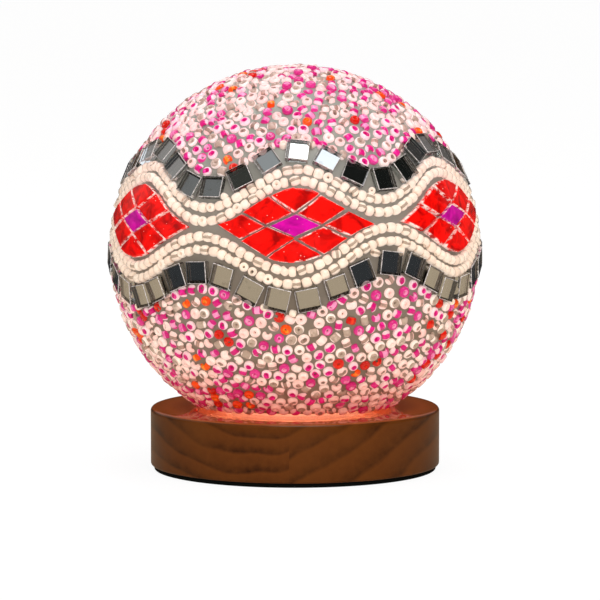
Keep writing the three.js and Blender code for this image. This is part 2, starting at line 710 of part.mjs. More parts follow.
function baseGroup() {
  const group = new THREE.Group();
  group.add(
    named("wood_base", woodBase(), darkWood),
    named("base_pad", basePad(), blackFoam),
    named("bottom_cover", bottomCover(), blackPlastic),
    named("rear_plate", rearPlate(), blackPlastic),
    named("charge_board", chargeBoard(), greenBoard),
    named("usb_c_socket", usbSocket(), steel),
    named("switch_body", switchBody(), blackPlastic),
    named("power_button", powerButton(), blackPlastic),
    named("battery", battery(), batteryFoil),
    named("battery_tape", batteryTape(), tapeFoam),
    named("battery_wire_red", batteryWire(-14), redWire),
    named("battery_wire_black", batteryWire(-10), blackWire),
    named("led_wire_red", ledWire(1.2), redWire),
    named("led_wire_black", ledWire(-1.2), blackWire),
    named("led_board", ledBoard(), whiteBoard),
    named("diffuser", diffuser(), opal),
    named("neck_ring", neckRing(), silicone)
  );
  coverScrewPlaces.forEach(([x, y], i) => {
    group.add(named(`cover_screw_${i + 1}`, coverScrew(), steel, [x, y, WOOD_FOOT]));
  });
  chargeBoardScrewPlaces.forEach(([x, y], i) => {
    group.add(named(`charge_board_screw_${i + 1}`, boardScrew(3.4), steel, [x, y, CHARGE_BOARD_TOP]));
  });
  ledBoardScrewPlaces.forEach(([x, y], i) => {
    group.add(named(`led_board_screw_${i + 1}`, boardScrew(4.0), steel, [x, y, LED_BOARD_TOP]));
  });
  for (let i = 0; i < LED_COUNT; i++) {
    const turn = radians((360 * (i + 0.5)) / LED_COUNT);
    const place = [LED_CIRCLE * Math.cos(turn), LED_CIRCLE * Math.sin(turn), LED_BOARD_TOP];
    group.add(named(`led_${i + 1}`, ledChip(), ledFace, place));
  }
  return group;
}

function globeGroup() {
  const group = new THREE.Group();
  group.position.z = GLOBE_CENTRE;
  group.add(
    named("glass_globe", glassGlobe(), clearGlass),
    named("adhesive_bed", adhesiveBed(), greyBed),
    named("bead_field_upper", upperBeadField(), pinkBead),
    named("bead_field_lower", lowerBeadField(), pinkBead),
    named("mirror_band_upper", mirrorBand(upperMirrors, MIRROR_TILES_UPPER), mirror),
    named("mirror_band_lower", mirrorBand(lowerMirrors, MIRROR_TILES_LOWER), mirror),
    named("bead_row_upper_outer", beadRow(upperOuterRow), ivoryBead),
    named("bead_row_upper_inner", beadRow(upperInnerRow), ivoryBead),
    named("bead_row_lower_inner", beadRow(lowerInnerRow), ivoryBead),
    named("bead_row_lower_outer", beadRow(lowerOuterRow), ivoryBead)
  );
  for (let i = 0; i < LOZENGE_COUNT; i++) {
    const azimuth = (360 * i) / LOZENGE_COUNT;
    group.add(named(`lozenge_red_tiles_${i + 1}`, redTiles(azimuth), redGlass));
    group.add(named(`lozenge_centre_tile_${i + 1}`, centreTile(azimuth), magentaGlass));
  }
  return group;
}

const lamp = new THREE.Group();
lamp.add(baseGroup(), globeGroup());

export default lamp;
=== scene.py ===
"""Looks of the mosaic glass table lamp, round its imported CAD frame. Metres, +Z up, front towards -Y."""

import math

import bpy
import numpy as np
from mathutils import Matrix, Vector


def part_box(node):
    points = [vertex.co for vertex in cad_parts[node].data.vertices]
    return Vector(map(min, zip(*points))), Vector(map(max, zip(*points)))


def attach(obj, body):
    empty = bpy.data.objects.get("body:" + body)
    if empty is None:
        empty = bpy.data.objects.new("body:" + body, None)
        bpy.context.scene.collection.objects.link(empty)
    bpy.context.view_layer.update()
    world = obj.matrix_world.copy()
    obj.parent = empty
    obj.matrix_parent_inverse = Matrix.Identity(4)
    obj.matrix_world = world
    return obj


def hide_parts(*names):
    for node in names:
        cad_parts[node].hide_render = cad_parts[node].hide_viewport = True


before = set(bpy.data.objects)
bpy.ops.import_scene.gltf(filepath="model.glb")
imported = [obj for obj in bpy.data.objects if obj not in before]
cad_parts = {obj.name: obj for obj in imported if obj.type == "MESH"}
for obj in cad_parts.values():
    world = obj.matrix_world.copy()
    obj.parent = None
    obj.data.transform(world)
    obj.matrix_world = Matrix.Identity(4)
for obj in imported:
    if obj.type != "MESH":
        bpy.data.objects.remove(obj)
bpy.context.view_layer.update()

MM = 0.001
rng = np.random.default_rng(7)
chip_rng = np.random.default_rng(11)  # for the chipped edges of the lozenge tiles only

# ---- sizes: places are the frame's, and what a node's box can't tell is set here

ENVELOPE = 65.0 * MM  # radius to the tops of the beads
CENTRE_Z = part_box("bead_field_upper")[1].z - ENVELOPE
GLOBE_CENTRE = np.array([0, 0, CENTRE_Z])
WOOD_LOW, WOOD_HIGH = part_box("wood_base")
PAD_LOW, PAD_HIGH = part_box("base_pad")
RING_LOW, RING_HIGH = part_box("neck_ring")
DIFFUSER_LOW, DIFFUSER_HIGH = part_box("diffuser")
PLATE_LOW, PLATE_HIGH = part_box("rear_plate")
GLASS_LOW, GLASS_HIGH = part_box("glass_globe")

GLASS_RADIUS = GLASS_HIGH.z - CENTRE_Z
GLASS_THICKNESS = 2.4 * MM
NECK_RADIUS = 26.4 * MM
NECK_START = CENTRE_Z - 0.903 * GLASS_RADIUS  # height at which the globe turns into its neck
BED_RADIUS = 62.75 * MM  # the adhesive's surface under the tiles
BED_RISE = 0.5 * MM  # how much higher it stands between the loose beads, up to half their depth
BED_FOOT = -57.8  # degrees of latitude
TILES_TO_RISE = 3.84  # degrees from the middle of the mirror tiles to where the bed starts to rise
RISE_WIDTH = 1.2  # degrees over which it does
BEAD_FOOT = -55.9  # of the lowest beads' middles

BEAD_RADIUS = 1.95 * MM
BEAD_LENGTH = 2.8 * MM
BEAD_HOLE = 0.32 * MM
BEAD_FLATTENING = 0.8  # height over width of the loose beads, as the adhesive's skin rounds them off

TILE_SIDE = 7.95 * MM
SILVER_INSET = 0.25 * MM  # bare glass round the silver, where the cut has lifted it
SILVER_LEVELS = (0.06 * MM, 0.16 * MM)  # foot and top of the silver, over the tile's back
TILE_THICKNESS = 2.3 * MM
TILE_FOOT = 62.85 * MM  # radius to the backs of the tiles

LOZENGES = 6
LOZENGE_LATITUDE = 12.3  # this and the next two in degrees
LOZENGE_HALF_WIDTH = 25.4
LOZENGE_HALF_HEIGHT = 11.2
STAINED_TILE_SIDE = 10.2 * MM
STAINED_TILE_THICKNESS = 1.9 * MM
CHIP_WIDTHS = np.array([0.6, 0.7, 0.7, 0.8, 2.4]) * MM  # of the chipped edge on a side of a lozenge tile


# ---- places on the globe


def hand_laid(azimuth):
    """The slight rise and fall of rows that are laid by hand, in degrees."""
    return np.sin(np.radians(azimuth)) + 0.9 * np.sin(np.radians(3 * azimuth))


def wave(mean, swing):
    """Latitude of a band that rises and falls once for each lozenge."""
    return lambda azimuth: mean + swing * np.cos(np.radians(LOZENGES * azimuth)) + hand_laid(azimuth)


upper_inner_row = wave(20.5, 6.0)
upper_outer_row = wave(24.5, 5.8)
upper_mirrors = wave(30.4, 5.7)
lower_inner_row = wave(4.2, -5.7)
lower_outer_row = wave(0.2, -5.6)
lower_mirrors = wave(-5.8, -5.0)


def outward(azimuth, latitude):
    """Unit vectors away from the globe's centre. Azimuth 0 faces -Y and grows towards +X, in degrees."""
    a, b = np.radians(azimuth), np.radians(latitude)
    return np.stack([np.cos(b) * np.sin(a), -np.cos(b) * np.cos(a), np.sin(b) + 0 * a], axis=-1)


def on_globe(radius, azimuth, latitude):
    return outward(azimuth, latitude) * radius + GLOBE_CENTRE


def east(azimuth):
    a = np.radians(azimuth)
    return np.stack([np.cos(a), np.sin(a), 0 * a], axis=-1)


def north(azimuth, latitude):
    a, b = np.radians(azimuth), np.radians(latitude)
    return np.stack([-np.sin(b) * np.sin(a), np.sin(b) * np.cos(a), np.cos(b)], axis=-1)


def tangent(azimuth, latitude, lean):
    """Directions in the globe's surface that lean from east towards north by an angle in radians."""
    lean = np.asarray(lean)[..., None]
    return east(azimuth) * np.cos(lean) + north(azimuth, latitude) * np.sin(lean)


def unit(vectors):
    return vectors / np.linalg.norm(vectors, axis=-1, keepdims=True)


def along_band(latitude_of, pitch, start, jitter):
    """
    Azimuths spaced almost evenly along a wavy band, once round, with the band's slope in degrees and the
    length of band that each takes up.
    """
    azimuths = np.linspace(start, start + 360, 3601)
    points = on_globe(ENVELOPE, azimuths, latitude_of(azimuths))
    steps = np.linalg.norm(np.diff(points, axis=0), axis=1)
    travelled = np.concatenate([[0], np.cumsum(steps)])
    count = round(travelled[-1] / pitch)
    gaps = 1 + jitter * rng.uniform(-1, 1, count)
    gaps = gaps / gaps.sum() * travelled[-1]
    found = np.interp(np.cumsum(gaps) - gaps[0], travelled, azimuths)
    rise = (latitude_of(found + 0.5) - latitude_of(found - 0.5)) / np.cos(np.radians(latitude_of(found)))
    return found, np.degrees(np.arctan(rise)), gaps


# ---- meshes


def add_mesh(name, vertices, faces, body, slot, look, replaced=(), smooth=True, **numbers):
    """A visual piece from its vertices and faces. numbers are attributes: one number for each vertex."""
    mesh = bpy.data.meshes.new(name)
    mesh.from_pydata([tuple(v) for v in vertices], [], [tuple(int(i) for i in f) for f in faces])
    mesh.update()
    if smooth:
        mesh.shade_smooth()
    for key, values in numbers.items():
        mesh.attributes.new(key, "FLOAT", "POINT").data.foreach_set("value", values)
    mesh.materials.append(look)
    piece = bpy.data.objects.new(name, mesh)
    bpy.context.scene.collection.objects.link(piece)
    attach(piece, body)
    if replaced:
        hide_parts(*replaced)
    return piece


ON_AXIS = 1e-7  # a radius too small to be a ring of its own


def lathe(name, profile, segments, body, slot, look, replaced, crease_angle=35):
    """A solid turned about Z from a closed loop of (radius, height), or one that ends on the axis."""
    turn = np.linspace(0, 2 * math.pi, segments, endpoint=False)
    rings, vertices = [], []
    for radius, height in profile:
        if radius < ON_AXIS:
            rings.append([len(vertices)] * segments)
            vertices.append((0, 0, height))
            continue
        rings.append(list(range(len(vertices), len(vertices) + segments)))
        vertices.extend((radius * math.cos(t), radius * math.sin(t), height) for t in turn)
    closed = profile[0][0] > ON_AXIS
    faces = []
    for low, high in zip(rings, rings[1:] + rings[:1] if closed else rings[1:]):
        for k in range(segments):
            m = (k + 1) % segments
            corners = [low[k], low[m], high[m], high[k]]
            face = [c for i, c in enumerate(corners) if c not in corners[:i]]
            if len(face) > 2:
                faces.append(face)
    piece = add_mesh(name, vertices, faces, body, slot, look, (replaced,))
    piece.data.set_sharp_from_angle(angle=math.radians(crease_angle))
    return piece


def arc(radius, start, end, steps, centre_height=0.0, centre_radius=0.0):
    """Points of (radius, height) on an arc of a profile, from one angle to another in degrees."""
    angles = np.radians(np.linspace(start, end, steps + 1))
    across = centre_radius + radius * np.cos(angles)
    across[np.abs(across) < ON_AXIS] = 0.0
    return list(zip(across, centre_height + radius * np.sin(angles)))


def rounded(profile, radius, steps=3):
    """The same closed profile with its corners rounded."""
    points = [np.array(p) for p in profile]
    out = []
    for i, corner in enumerate(points):
        before, after = points[i - 1] - corner, points[(i + 1) % len(points)] - corner
        cut = min(radius, np.linalg.norm(before) / 2.2, np.linalg.norm(after) / 2.2)
        a = corner + before / np.linalg.norm(before) * cut
        b = corner + after / np.linalg.norm(after) * cut
        for t in np.linspace(0, 1, steps + 1):
            out.append(tuple((1 - t) ** 2 * a + 2 * t * (1 - t) * corner + t**2 * b))
    return out


# ---- materials


class Nodes:
    """A node tree, built up a node at a time."""

    def __init__(self, tree):
        self.tree = tree

    def node(self, kind, sockets=None, **settings):
        """Adds a node. sockets gives values for its inputs, as feed takes them, by name or number."""
        made = self.tree.nodes.new(f"ShaderNode{kind}")
        for key, value in settings.items():
            setattr(made, key, value)
        for key, value in (sockets or {}).items():
            self.feed(value, made.inputs[key])
        return made

    def link(self, source, target):
        self.tree.links.new(source, target)

    def feed(self, value, socket):
        """Sets a socket to a number, vector or (r, g, b), or links another node's output to it."""
        if isinstance(value, tuple):
            socket.default_value = (*value, 1)[: len(socket.default_value)]
        elif isinstance(value, (int, float)):
            socket.default_value = value
        else:
            self.link(value, socket)

    def mix(self, factor, first, second, blend="MIX"):
        """Mixes two colours."""
        sockets = {0: factor, 6: first, 7: second}
        return self.node("Mix", sockets, data_type="RGBA", blend_type=blend).outputs[2]

    def math(self, operation, first, second=0.0, clamp=False):
        return self.node("Math", {0: first, 1: second}, operation=operation, use_clamp=clamp).outputs[0]

    def length(self, x, y):
        squares = self.math("ADD", self.math("MULTIPLY", x, x), self.math("MULTIPLY", y, y))
        return self.math("SQRT", squares)

    def span(self, value, low, high, to_low=0.0, to_high=1.0, interpolation="LINEAR"):
        """Maps low..high to to_low..to_high, and holds it at the ends."""
        sockets = {"Value": value, "From Min": low, "From Max": high, "To Min": to_low, "To Max": to_high}
        return self.node("MapRange", sockets, interpolation_type=interpolation).outputs["Result"]

    def ramp(self, value, *stops):
        """Colours at positions from 0 to 1: (position, (r, g, b)) or (position, grey)."""
        made = self.node("ValToRGB", {"Fac": value})
        elements = made.color_ramp.elements
        while len(elements) < len(stops):
            elements.new(0.5)
        for element, (position, colour) in zip(elements, stops):
            element.position = position
            rgb = colour if isinstance(colour, tuple) else (colour,) * 3
            element.color = (*rgb, 1)
        return made.outputs["Color"]


class Look(Nodes):
    """One material, built up round its Principled shader."""

    def __init__(self, name, colour, roughness, **inputs):
        self.material = bpy.data.materials.new(name)
        self.material.use_nodes = True
        super().__init__(self.material.node_tree)
        self.shader = self.tree.nodes["Principled BSDF"]
        self.shader.inputs["Base Color"].default_value = (*colour, 1)
        self.shader.inputs["Roughness"].default_value = roughness
        for key, value in inputs.items():
            socket = key.replace("_", " ").title().replace("Ior", "IOR")
            self.shader.inputs[socket].default_value = value

    def place(self):
        """Position in the shared frame: every piece sits at the origin."""
        return self.node("TexCoord").outputs["Object"]

    def axes(self):
        """X, Y and Z of the position."""
        return tuple(self.node("SeparateXYZ", {0: self.place()}).outputs)

    def noise(self, scale, detail=3.0, rough=0.5, stretch=None, distortion=0.0):
        """Noise from 0 to 1. scale is in cycles a metre; stretch scales it along X, Y and Z."""
        where = self.place()
        if stretch:
            where = self.node("Mapping", {"Vector": where, "Scale": stretch}).outputs["Vector"]
        sockets = {"Scale": scale, "Detail": detail, "Roughness": rough, "Distortion": distortion}
        return self.node("TexNoise", {"Vector": where, **sockets}).outputs["Fac"]

    def colour(self, socket):
        self.link(socket, self.shader.inputs["Base Color"])
        return self

    def roughness(self, value, low, high):
        self.link(self.span(value, 0, 1, low, high), self.shader.inputs["Roughness"])
        return self

    def bump(self, value, strength, distance):
        made = self.node("Bump", {"Height": value, "Strength": strength, "Distance": distance})
        self.link(made.outputs["Normal"], self.shader.inputs["Normal"])
        return self

    def emit(self, colour, strength):
        self.feed(colour, self.shader.inputs["Emission Color"])
        self.shader.inputs["Emission Strength"].default_value = strength
        return self


def wood_look(name, coat, coat_roughness):
    """
    Edge-glued pine boards stained walnut: growth rings end on at the front, fine pores, clear lacquer.
    The globe's coloured light on the top round the neck is partly lit by the light inside and partly painted,
    as an emitted glow.
    """
    lacquer = {"coat_weight": coat, "coat_roughness": coat_roughness, "specular_ior_level": 0.05}
    look = Look(name, (0.1, 0.04, 0.015), 0.5, **lacquer)
    x, y, z = look.axes()
    wander = look.noise(30, 2, 0.5, (1, 0.35, 1))
    shift = look.span(wander, 0, 1, -6 * MM, 6 * MM)

    def rings(centre_x, centre_z, lean, spacing):
        """Growth rings about an axis that runs along Y and leans a little sideways."""
        across = look.math("ADD", look.math("SUBTRACT", x, centre_x), look.math("MULTIPLY", y, lean))
        up = look.math("SUBTRACT", z, centre_z)
        distance = look.math("ADD", look.length(across, up), shift)
        return look.math("FRACT", look.math("DIVIDE", distance, spacing))

    left_board = rings(centre_x=-16 * MM, centre_z=62 * MM, lean=0.10, spacing=6.4 * MM)
    right_board = rings(centre_x=-40 * MM, centre_z=105 * MM, lean=-0.08, spacing=8.8 * MM)
    past_seam = look.math("ADD", x, look.math("MULTIPLY", y, 0.02))
    seam = look.math("GREATER_THAN", past_seam, -3 * MM)
    ring = look.node("Mix", {0: seam, 2: left_board, 3: right_board}, data_type="FLOAT").outputs[0]

    early, late = (0.114, 0.0300, 0.0036), (0.029, 0.0070, 0.0009)
    grain = look.ramp(ring, (0.0, early), (0.50, (0.082, 0.0210, 0.0024)), (0.84, late), (1.0, early))
    fibres = look.noise(420, 3, 0.6, (1, 0.05, 1))
    grain = look.mix(look.span(fibres, 0.35, 0.75, 0, 0.45), grain, (0.140, 0.040, 0.0060))
    patches = look.noise(45, 2, 0.5)
    grain = look.mix(look.span(patches, 0.35, 0.75, 0, 0.6), grain, (0.134, 0.039, 0.0052))
    look.colour(grain)
    look.roughness(fibres, 0.3, 0.5)

    # painted light: an emitted glow on the top round the neck, strongest partway in towards the neck, stands
    # in for the globe's coloured light
    near = look.span(look.length(x, y), WOOD_HIGH.x + 4 * MM, NECK_RADIUS)
    top = look.math("GREATER_THAN", z, WOOD_HIGH.z - 0.4 * MM)
    painted_glow = look.ramp(
        near,
        (0.1, (0.17, 0.030, 0.003)),
        (0.35, (0.27, 0.046, 0.011)),
        (0.6, (0.15, 0.024, 0.011)),
    )
    look.emit(look.mix(top, (0.0, 0.0, 0.0), painted_glow), 1.0)
    return look.bump(fibres, 0.12, 0.0003).material


def foam_look():
    look = Look("black_foam", (0.006, 0.008, 0.006), 0.85, specular_ior_level=0.05)
    cells = look.noise(2500, 2, 0.7)
    look.colour(look.ramp(cells, (0.3, (0.0015, 0.002, 0.0015)), (0.7, (0.006, 0.007, 0.006))))
    return look.bump(cells, 0.4, 0.0002).material


def plastic_look(name, colour, lift=1.6):
    """Moulded plastic with a fine spark-eroded texture."""
    look = Look(name, colour, 0.5)
    speckle = look.noise(3000, 2, 0.6)
    light = tuple(min(1.0, c * lift) for c in colour)
    look.colour(look.ramp(speckle, (0.3, colour), (0.75, light)))
    look.roughness(speckle, 0.42, 0.6)
    return look.bump(speckle, 0.25, 0.0001).material


def steel_look():
    look = Look("bright_steel", (0.55, 0.55, 0.56), 0.28, metallic=1.0)
    brushed = look.noise(900, 3, 0.6, (1, 1, 0.06))
    look.colour(look.ramp(brushed, (0.3, (0.45, 0.45, 0.46)), (0.7, (0.66, 0.66, 0.67))))
    return look.roughness(brushed, 0.2, 0.42).material


def board_look(name, mask, trace):
    """Circuit board: solder mask over faint copper traces."""
    look = Look(name, mask, 0.35)
    colours = {"Color1": mask, "Color2": mask, "Mortar": trace}
    checks = look.node("TexBrick", {"Vector": look.place(), "Scale": 260, "Mortar Size": 0.06, **colours})
    return look.colour(checks.outputs["Color"]).material


def lit_look(name, colour, light, strength):
    """A lit translucent plastic: slightly uneven white that gives light."""
    look = Look(name, colour, 0.4)
    cloud = look.noise(180, 2, 0.5)
    dim = tuple(c * 0.82 for c in light)
    look.colour(look.ramp(cloud, (0.3, tuple(c * 0.9 for c in colour)), (0.7, colour)))
    return look.emit(look.ramp(cloud, (0.3, dim), (0.7, light)), strength).material


def rubber_look(name, colour):
    look = Look(name, colour, 0.65)
    dust = look.noise(900, 3, 0.6)
    look.colour(look.ramp(dust, (0.35, colour), (0.8, tuple(c * 1.8 + 0.01 for c in colour))))
    return look.bump(dust, 0.15, 0.0001).material


def foil_look():
    look = Look("battery_foil", (0.42, 0.46, 0.5), 0.35, metallic=0.8)
    creases = look.noise(160, 3, 0.5, None, 0.6)
    look.colour(look.ramp(creases, (0.3, (0.36, 0.4, 0.44)), (0.7, (0.55, 0.58, 0.62))))
    return look.bump(creases, 0.3, 0.0004).material


def globe_glass_look():
    """Thin clear blown glass, with faint seeds."""
    look = Look("clear_glass", (0.93, 0.97, 0.96), 0.03, alpha=0.16, ior=1.5)
    seeds = look.noise(120, 2, 0.5)
    look.colour(look.ramp(seeds, (0.3, (0.86, 0.93, 0.91)), (0.7, (0.96, 0.99, 0.98))))
    return look.bump(seeds, 0.1, 0.0004).material


def bed_look():
    """Smooth set adhesive with painted light by height: cool grey above, warmer taupe below and red at the
    foot, where the lamp's light is painted on.
    """
    look = Look("grey_bed", (0.25, 0.22, 0.19), 0.32, coat_weight=0.5, coat_roughness=0.2)
    # painted light by height: warm and red below for the lamp's light, cool grey above; the smears mixed in
    # next are the adhesive's own
    level = look.span(look.axes()[2], CENTRE_Z - 55 * MM, CENTRE_Z + 50 * MM)
    painted_light_and_smears = look.ramp(
        level,
        (0.0, (0.34, 0.13, 0.07)),
        (0.16, (0.21, 0.132, 0.080)),
        (0.4, (0.230, 0.175, 0.125)),
        (0.75, (0.30, 0.28, 0.245)),
        (1.0, (0.33, 0.35, 0.31)),
    )
    smears = look.noise(70, 4, 0.6)
    painted_light_and_smears = look.mix(look.span(smears, 0.35, 0.7, 0, 0.35), painted_light_and_smears, (0.30, 0.27, 0.23))
    look.colour(painted_light_and_smears)
    look.roughness(smears, 0.25, 0.45)
    return look.bump(smears, 0.35, 0.0009).material


def bead_look(name, rim, rim_deep, core, core_deep, edge, painted_glow, shine=0.1, painted_halo=0.0, clear_share=0.0):
    """
    A glass bead. Each bead differs a little. The attribute "core" is a point's distance from the bead's
    lined hole as seen from outside the globe, over the bead's radius; inside edge the lining shows.
    clear_share of the beads have no coloured lining. The outline is painted paler by a given share, a painted
    highlight as in glass lit from behind, and each bead gets a painted glow of emission that stands in for
    the globe's light shining through it.
    """
    look = Look(name, rim, shine, coat_weight=0.8, coat_roughness=0.04)
    own = look.node("NewGeometry").outputs["Random Per Island"]
    other = look.math("FRACT", look.math("MULTIPLY", own, 37.7))
    from_core = look.node("Attribute", attribute_name="core").outputs["Fac"]
    ripple = look.noise(900, 1, 0.5)
    from_core = look.math("ADD", from_core, look.span(ripple, 0, 1, -0.13, 0.13))
    blur = 0.05
    inside = look.span(from_core, edge + blur, edge - blur)
    cloud = look.span(look.noise(520, 2, 0.6), 0.42, 0.7, 0, 0.5)
    outer = look.mix(cloud, look.mix(own, rim, rim_deep), tuple(0.85 * c for c in rim_deep))
    # painted highlight: the outline is paled towards near-white, as in glass lit from behind
    outer = look.mix(look.span(from_core, 0.62, 0.92, 0, painted_halo), outer, (1.0, 0.93, 0.88))
    lining = look.mix(look.span(ripple, 0.35, 0.65), look.mix(other, core, core_deep), core_deep)
    if clear_share:
        clear = look.math("LESS_THAN", other, clear_share)
        lining = look.mix(clear, lining, outer)
    skin = look.mix(inside, outer, lining)
    # painted light by height: the lamp's red light is painted on the lowest beads, fading to white above,
    # with a pink tint near the top
    level = look.span(look.axes()[2], CENTRE_Z - 56 * MM, CENTRE_Z + 44 * MM)
    painted_lamp_tint = look.ramp(
        level,
        (0.0, (0.86, 0.31, 0.23)),
        (0.20, (1.0, 0.91, 0.82)),
        (0.45, (1.0, 0.97, 0.91)),
        (0.8, (1.0, 0.99, 0.98)),
        (0.95, (1.0, 0.90, 0.93)),
    )
    skin = look.mix(1.0, skin, painted_lamp_tint, "MULTIPLY")
    # painted light: the skin is also emitted, a painted glow for the globe's light shining through the bead
    return look.colour(skin).emit(skin, painted_glow).material


BEAD_GLASS = {  # rim, rim_deep, core and core_deep of bead_look
    "pale": ((0.96, 0.79, 0.74), (0.93, 0.57, 0.54), (0.80, 0.44, 0.38), (0.30, 0.20, 0.16)),
    "clear": ((0.96, 0.84, 0.76), (0.94, 0.72, 0.68), (0.62, 0.47, 0.40), (0.40, 0.30, 0.24)),
    "magenta": ((0.98, 0.74, 0.80), (0.95, 0.48, 0.64), (0.92, 0.022, 0.36), (0.60, 0.006, 0.17)),
    "rose": ((0.78, 0.045, 0.31), (0.60, 0.012, 0.19), (0.72, 0.01, 0.28), (0.95, 0.35, 0.6)),
    "orange": ((1.0, 0.10, 0.004), (0.95, 0.05, 0.002), (0.9, 0.04, 0.0), (1.0, 0.3, 0.02)),
    "scarlet": ((0.85, 0.012, 0.004), (0.6, 0.006, 0.003), (0.5, 0.004, 0.002), (0.9, 0.04, 0.01)),
    "ivory": ((0.95, 0.81, 0.69), (0.87, 0.68, 0.56), (0.70, 0.56, 0.45), (0.40, 0.30, 0.23)),
}
# for each kind: lining edge, strength of the painted glow that stands in for the globe's light through the
# bead, share of the painted pale outline, share of unlined beads, and roughness
BEAD_LIGHT = {
    "pale": {"edge": 0.38, "painted_glow": 0.24, "painted_halo": 0.6, "clear_share": 0.45},
    "clear": {"edge": 0.70, "painted_glow": 0.24, "painted_halo": 0.75},
    "magenta": {"edge": 0.52, "painted_glow": 0.18, "painted_halo": 0.55},
    "rose": {"edge": 0.45, "painted_glow": 0.14},
    "orange": {"edge": 0.3, "painted_glow": 0.12},
    "scarlet": {"edge": 0.3, "painted_glow": 0.08},
    "ivory": {"edge": 0.30, "painted_glow": 0.18, "painted_halo": 0.5, "clear_share": 0.76, "shine": 0.14},
}


def silver_look():
    """Silvered back of a mirror tile, with a little tarnish."""
    look = Look("mirror_silver", (0.86, 0.87, 0.87), 0.02, metallic=1.0)
    tarnish = look.noise(300, 4, 0.6)
    look.colour(look.ramp(tarnish, (0.32, (0.74, 0.74, 0.72)), (0.42, (0.86, 0.87, 0.87))))
    return look.roughness(tarnish, 0.012, 0.03).material


def tile_glass_look():
    return Look("mirror_glass", (0.93, 0.96, 0.95), 0.0, transmission_weight=1.0, ior=1.5).material


def cut_edge_look(name, dark, middle, light):
    """The scored and snapped edge of a mirror tile: fine chips that scatter light."""
    look = Look(name, middle, 0.4, coat_weight=0.3, coat_roughness=0.1)
    chips = look.noise(1400, 3, 0.7)
    look.colour(look.ramp(chips, (0.38, dark), (0.5, middle), (0.62, light)))
    return look.bump(chips, 0.4, 0.0002).material


def stained_glass_look(name, bright, deep, painted_glow):
    """Wavy cathedral glass over a lit globe, whose light through it is painted as an emitted glow: its colour
    deepens in patches; pale seeds, chipped edges.
    """
    look = Look(name, bright, 0.06, coat_weight=0.25, coat_roughness=0.03)
    waves = look.noise(180, 2, 0.5, None, 0.8)
    body = look.ramp(waves, (0.30, deep), (0.60, bright))
    seeds = look.node("TexVoronoi", {"Vector": look.place(), "Scale": 560}, feature="F1")
    spot = look.span(seeds.outputs["Distance"], 0.11, 0.06)
    some = look.math("GREATER_THAN", look.noise(260, 0), 0.52)
    spot = look.math("MULTIPLY", spot, some)
    body = look.mix(spot, body, (1.0, 0.62, 0.55))
    rim = look.node("Attribute", attribute_name="rim").outputs["Fac"]
    broken = look.span(look.noise(420, 4, 0.7), 0.44, 0.58)
    chips = look.math("MULTIPLY", look.span(rim, 0.68, 0.86), broken)
    body = look.mix(chips, body, (0.92, 0.74, 0.68))
    look.colour(body)
    # painted light: the glass's colour is also emitted, a painted glow for the globe's light shining through
    look.emit(body, painted_glow)
    return look.bump(waves, 0.35, 0.0008).material


# ---- glass beads


def bead_template(squareness):
    """A bead about its own Z axis, of unit radius and unit half length, as vertices and faces."""
    around, across = 14, 10  # vertices round the bead, and round the section of its wall
    hole = BEAD_HOLE / BEAD_RADIUS
    middle, half = (1 + hole) / 2, (1 - hole) / 2
    turn = np.linspace(0, 2 * math.pi, across, endpoint=False)
    power = 2 / squareness
    radius = middle + half * np.sign(np.cos(turn)) * np.abs(np.cos(turn)) ** power
    height = np.sign(np.sin(turn)) * np.abs(np.sin(turn)) ** power
    spin = np.linspace(0, 2 * math.pi, around, endpoint=False)
    vertices = np.stack(
        [
            np.outer(np.cos(spin), radius).ravel(),
            np.outer(np.sin(spin), radius).ravel(),
            np.tile(height, around),
        ],
        axis=-1,
    )
    i, k = np.meshgrid(np.arange(around), np.arange(across), indexing="ij")
    i2, k2 = (i + 1) % around, (k + 1) % across
    faces = np.stack([i * across + k, i2 * across + k, i2 * across + k2, i * across + k2], axis=-1)
    return vertices, faces.reshape(-1, 4)


BEAD_VERTICES, BEAD_FACES = bead_template(squareness=2.3)
ROUND_BEAD_VERTICES, _ = bead_template(squareness=2.0)


def bead_meshes(local, flattening, centres, axes, normals, radii, lengths):
    """Vertices of many beads at once, and how far each is from its bead's lining as seen from outside."""
    axes = unit(axes)
    helper = np.where(np.abs(axes[:, 2:3]) < 0.9, [[0.0, 0.0, 1.0]], [[1.0, 0.0, 0.0]])
    side = unit(np.cross(axes, helper))
    other = np.cross(axes, side)
    offset = (
        side[:, None] * local[None, :, 0:1] * radii[:, None, None]
        + other[:, None] * local[None, :, 1:2] * radii[:, None, None]
        + axes[:, None] * local[None, :, 2:3] * lengths[:, None, None] / 2
    )
    flat = offset - np.sum(offset * normals[:, None], axis=-1, keepdims=True) * normals[:, None]
    lining = axes - np.sum(axes * normals, axis=-1, keepdims=True) * normals
    lining = (lining * lengths[:, None] / 2)[:, None]
    share = np.sum(flat * lining, axis=-1, keepdims=True) / np.maximum(
        np.sum(lining * lining, axis=-1, keepdims=True), 1e-12
    )
    core = np.linalg.norm(flat - lining * np.clip(share, -1, 1), axis=-1) / radii[:, None]
    return centres[:, None] + flat + (offset - flat) * flattening, core


def add_beads(name, beads, look, slot, replaced=(), template=BEAD_VERTICES, flattening=1.0):
    """One piece holding many beads, given as (centres, axes, normals, radii, lengths)."""
    points, core = bead_meshes(template, flattening, *beads)
    firsts = np.arange(len(points)) * len(template)
    faces = (BEAD_FACES + firsts[:, None, None]).reshape(-1, 4)
    add_mesh(name, points.reshape(-1, 3), faces, "globe", slot, look, replaced, core=core.ravel())


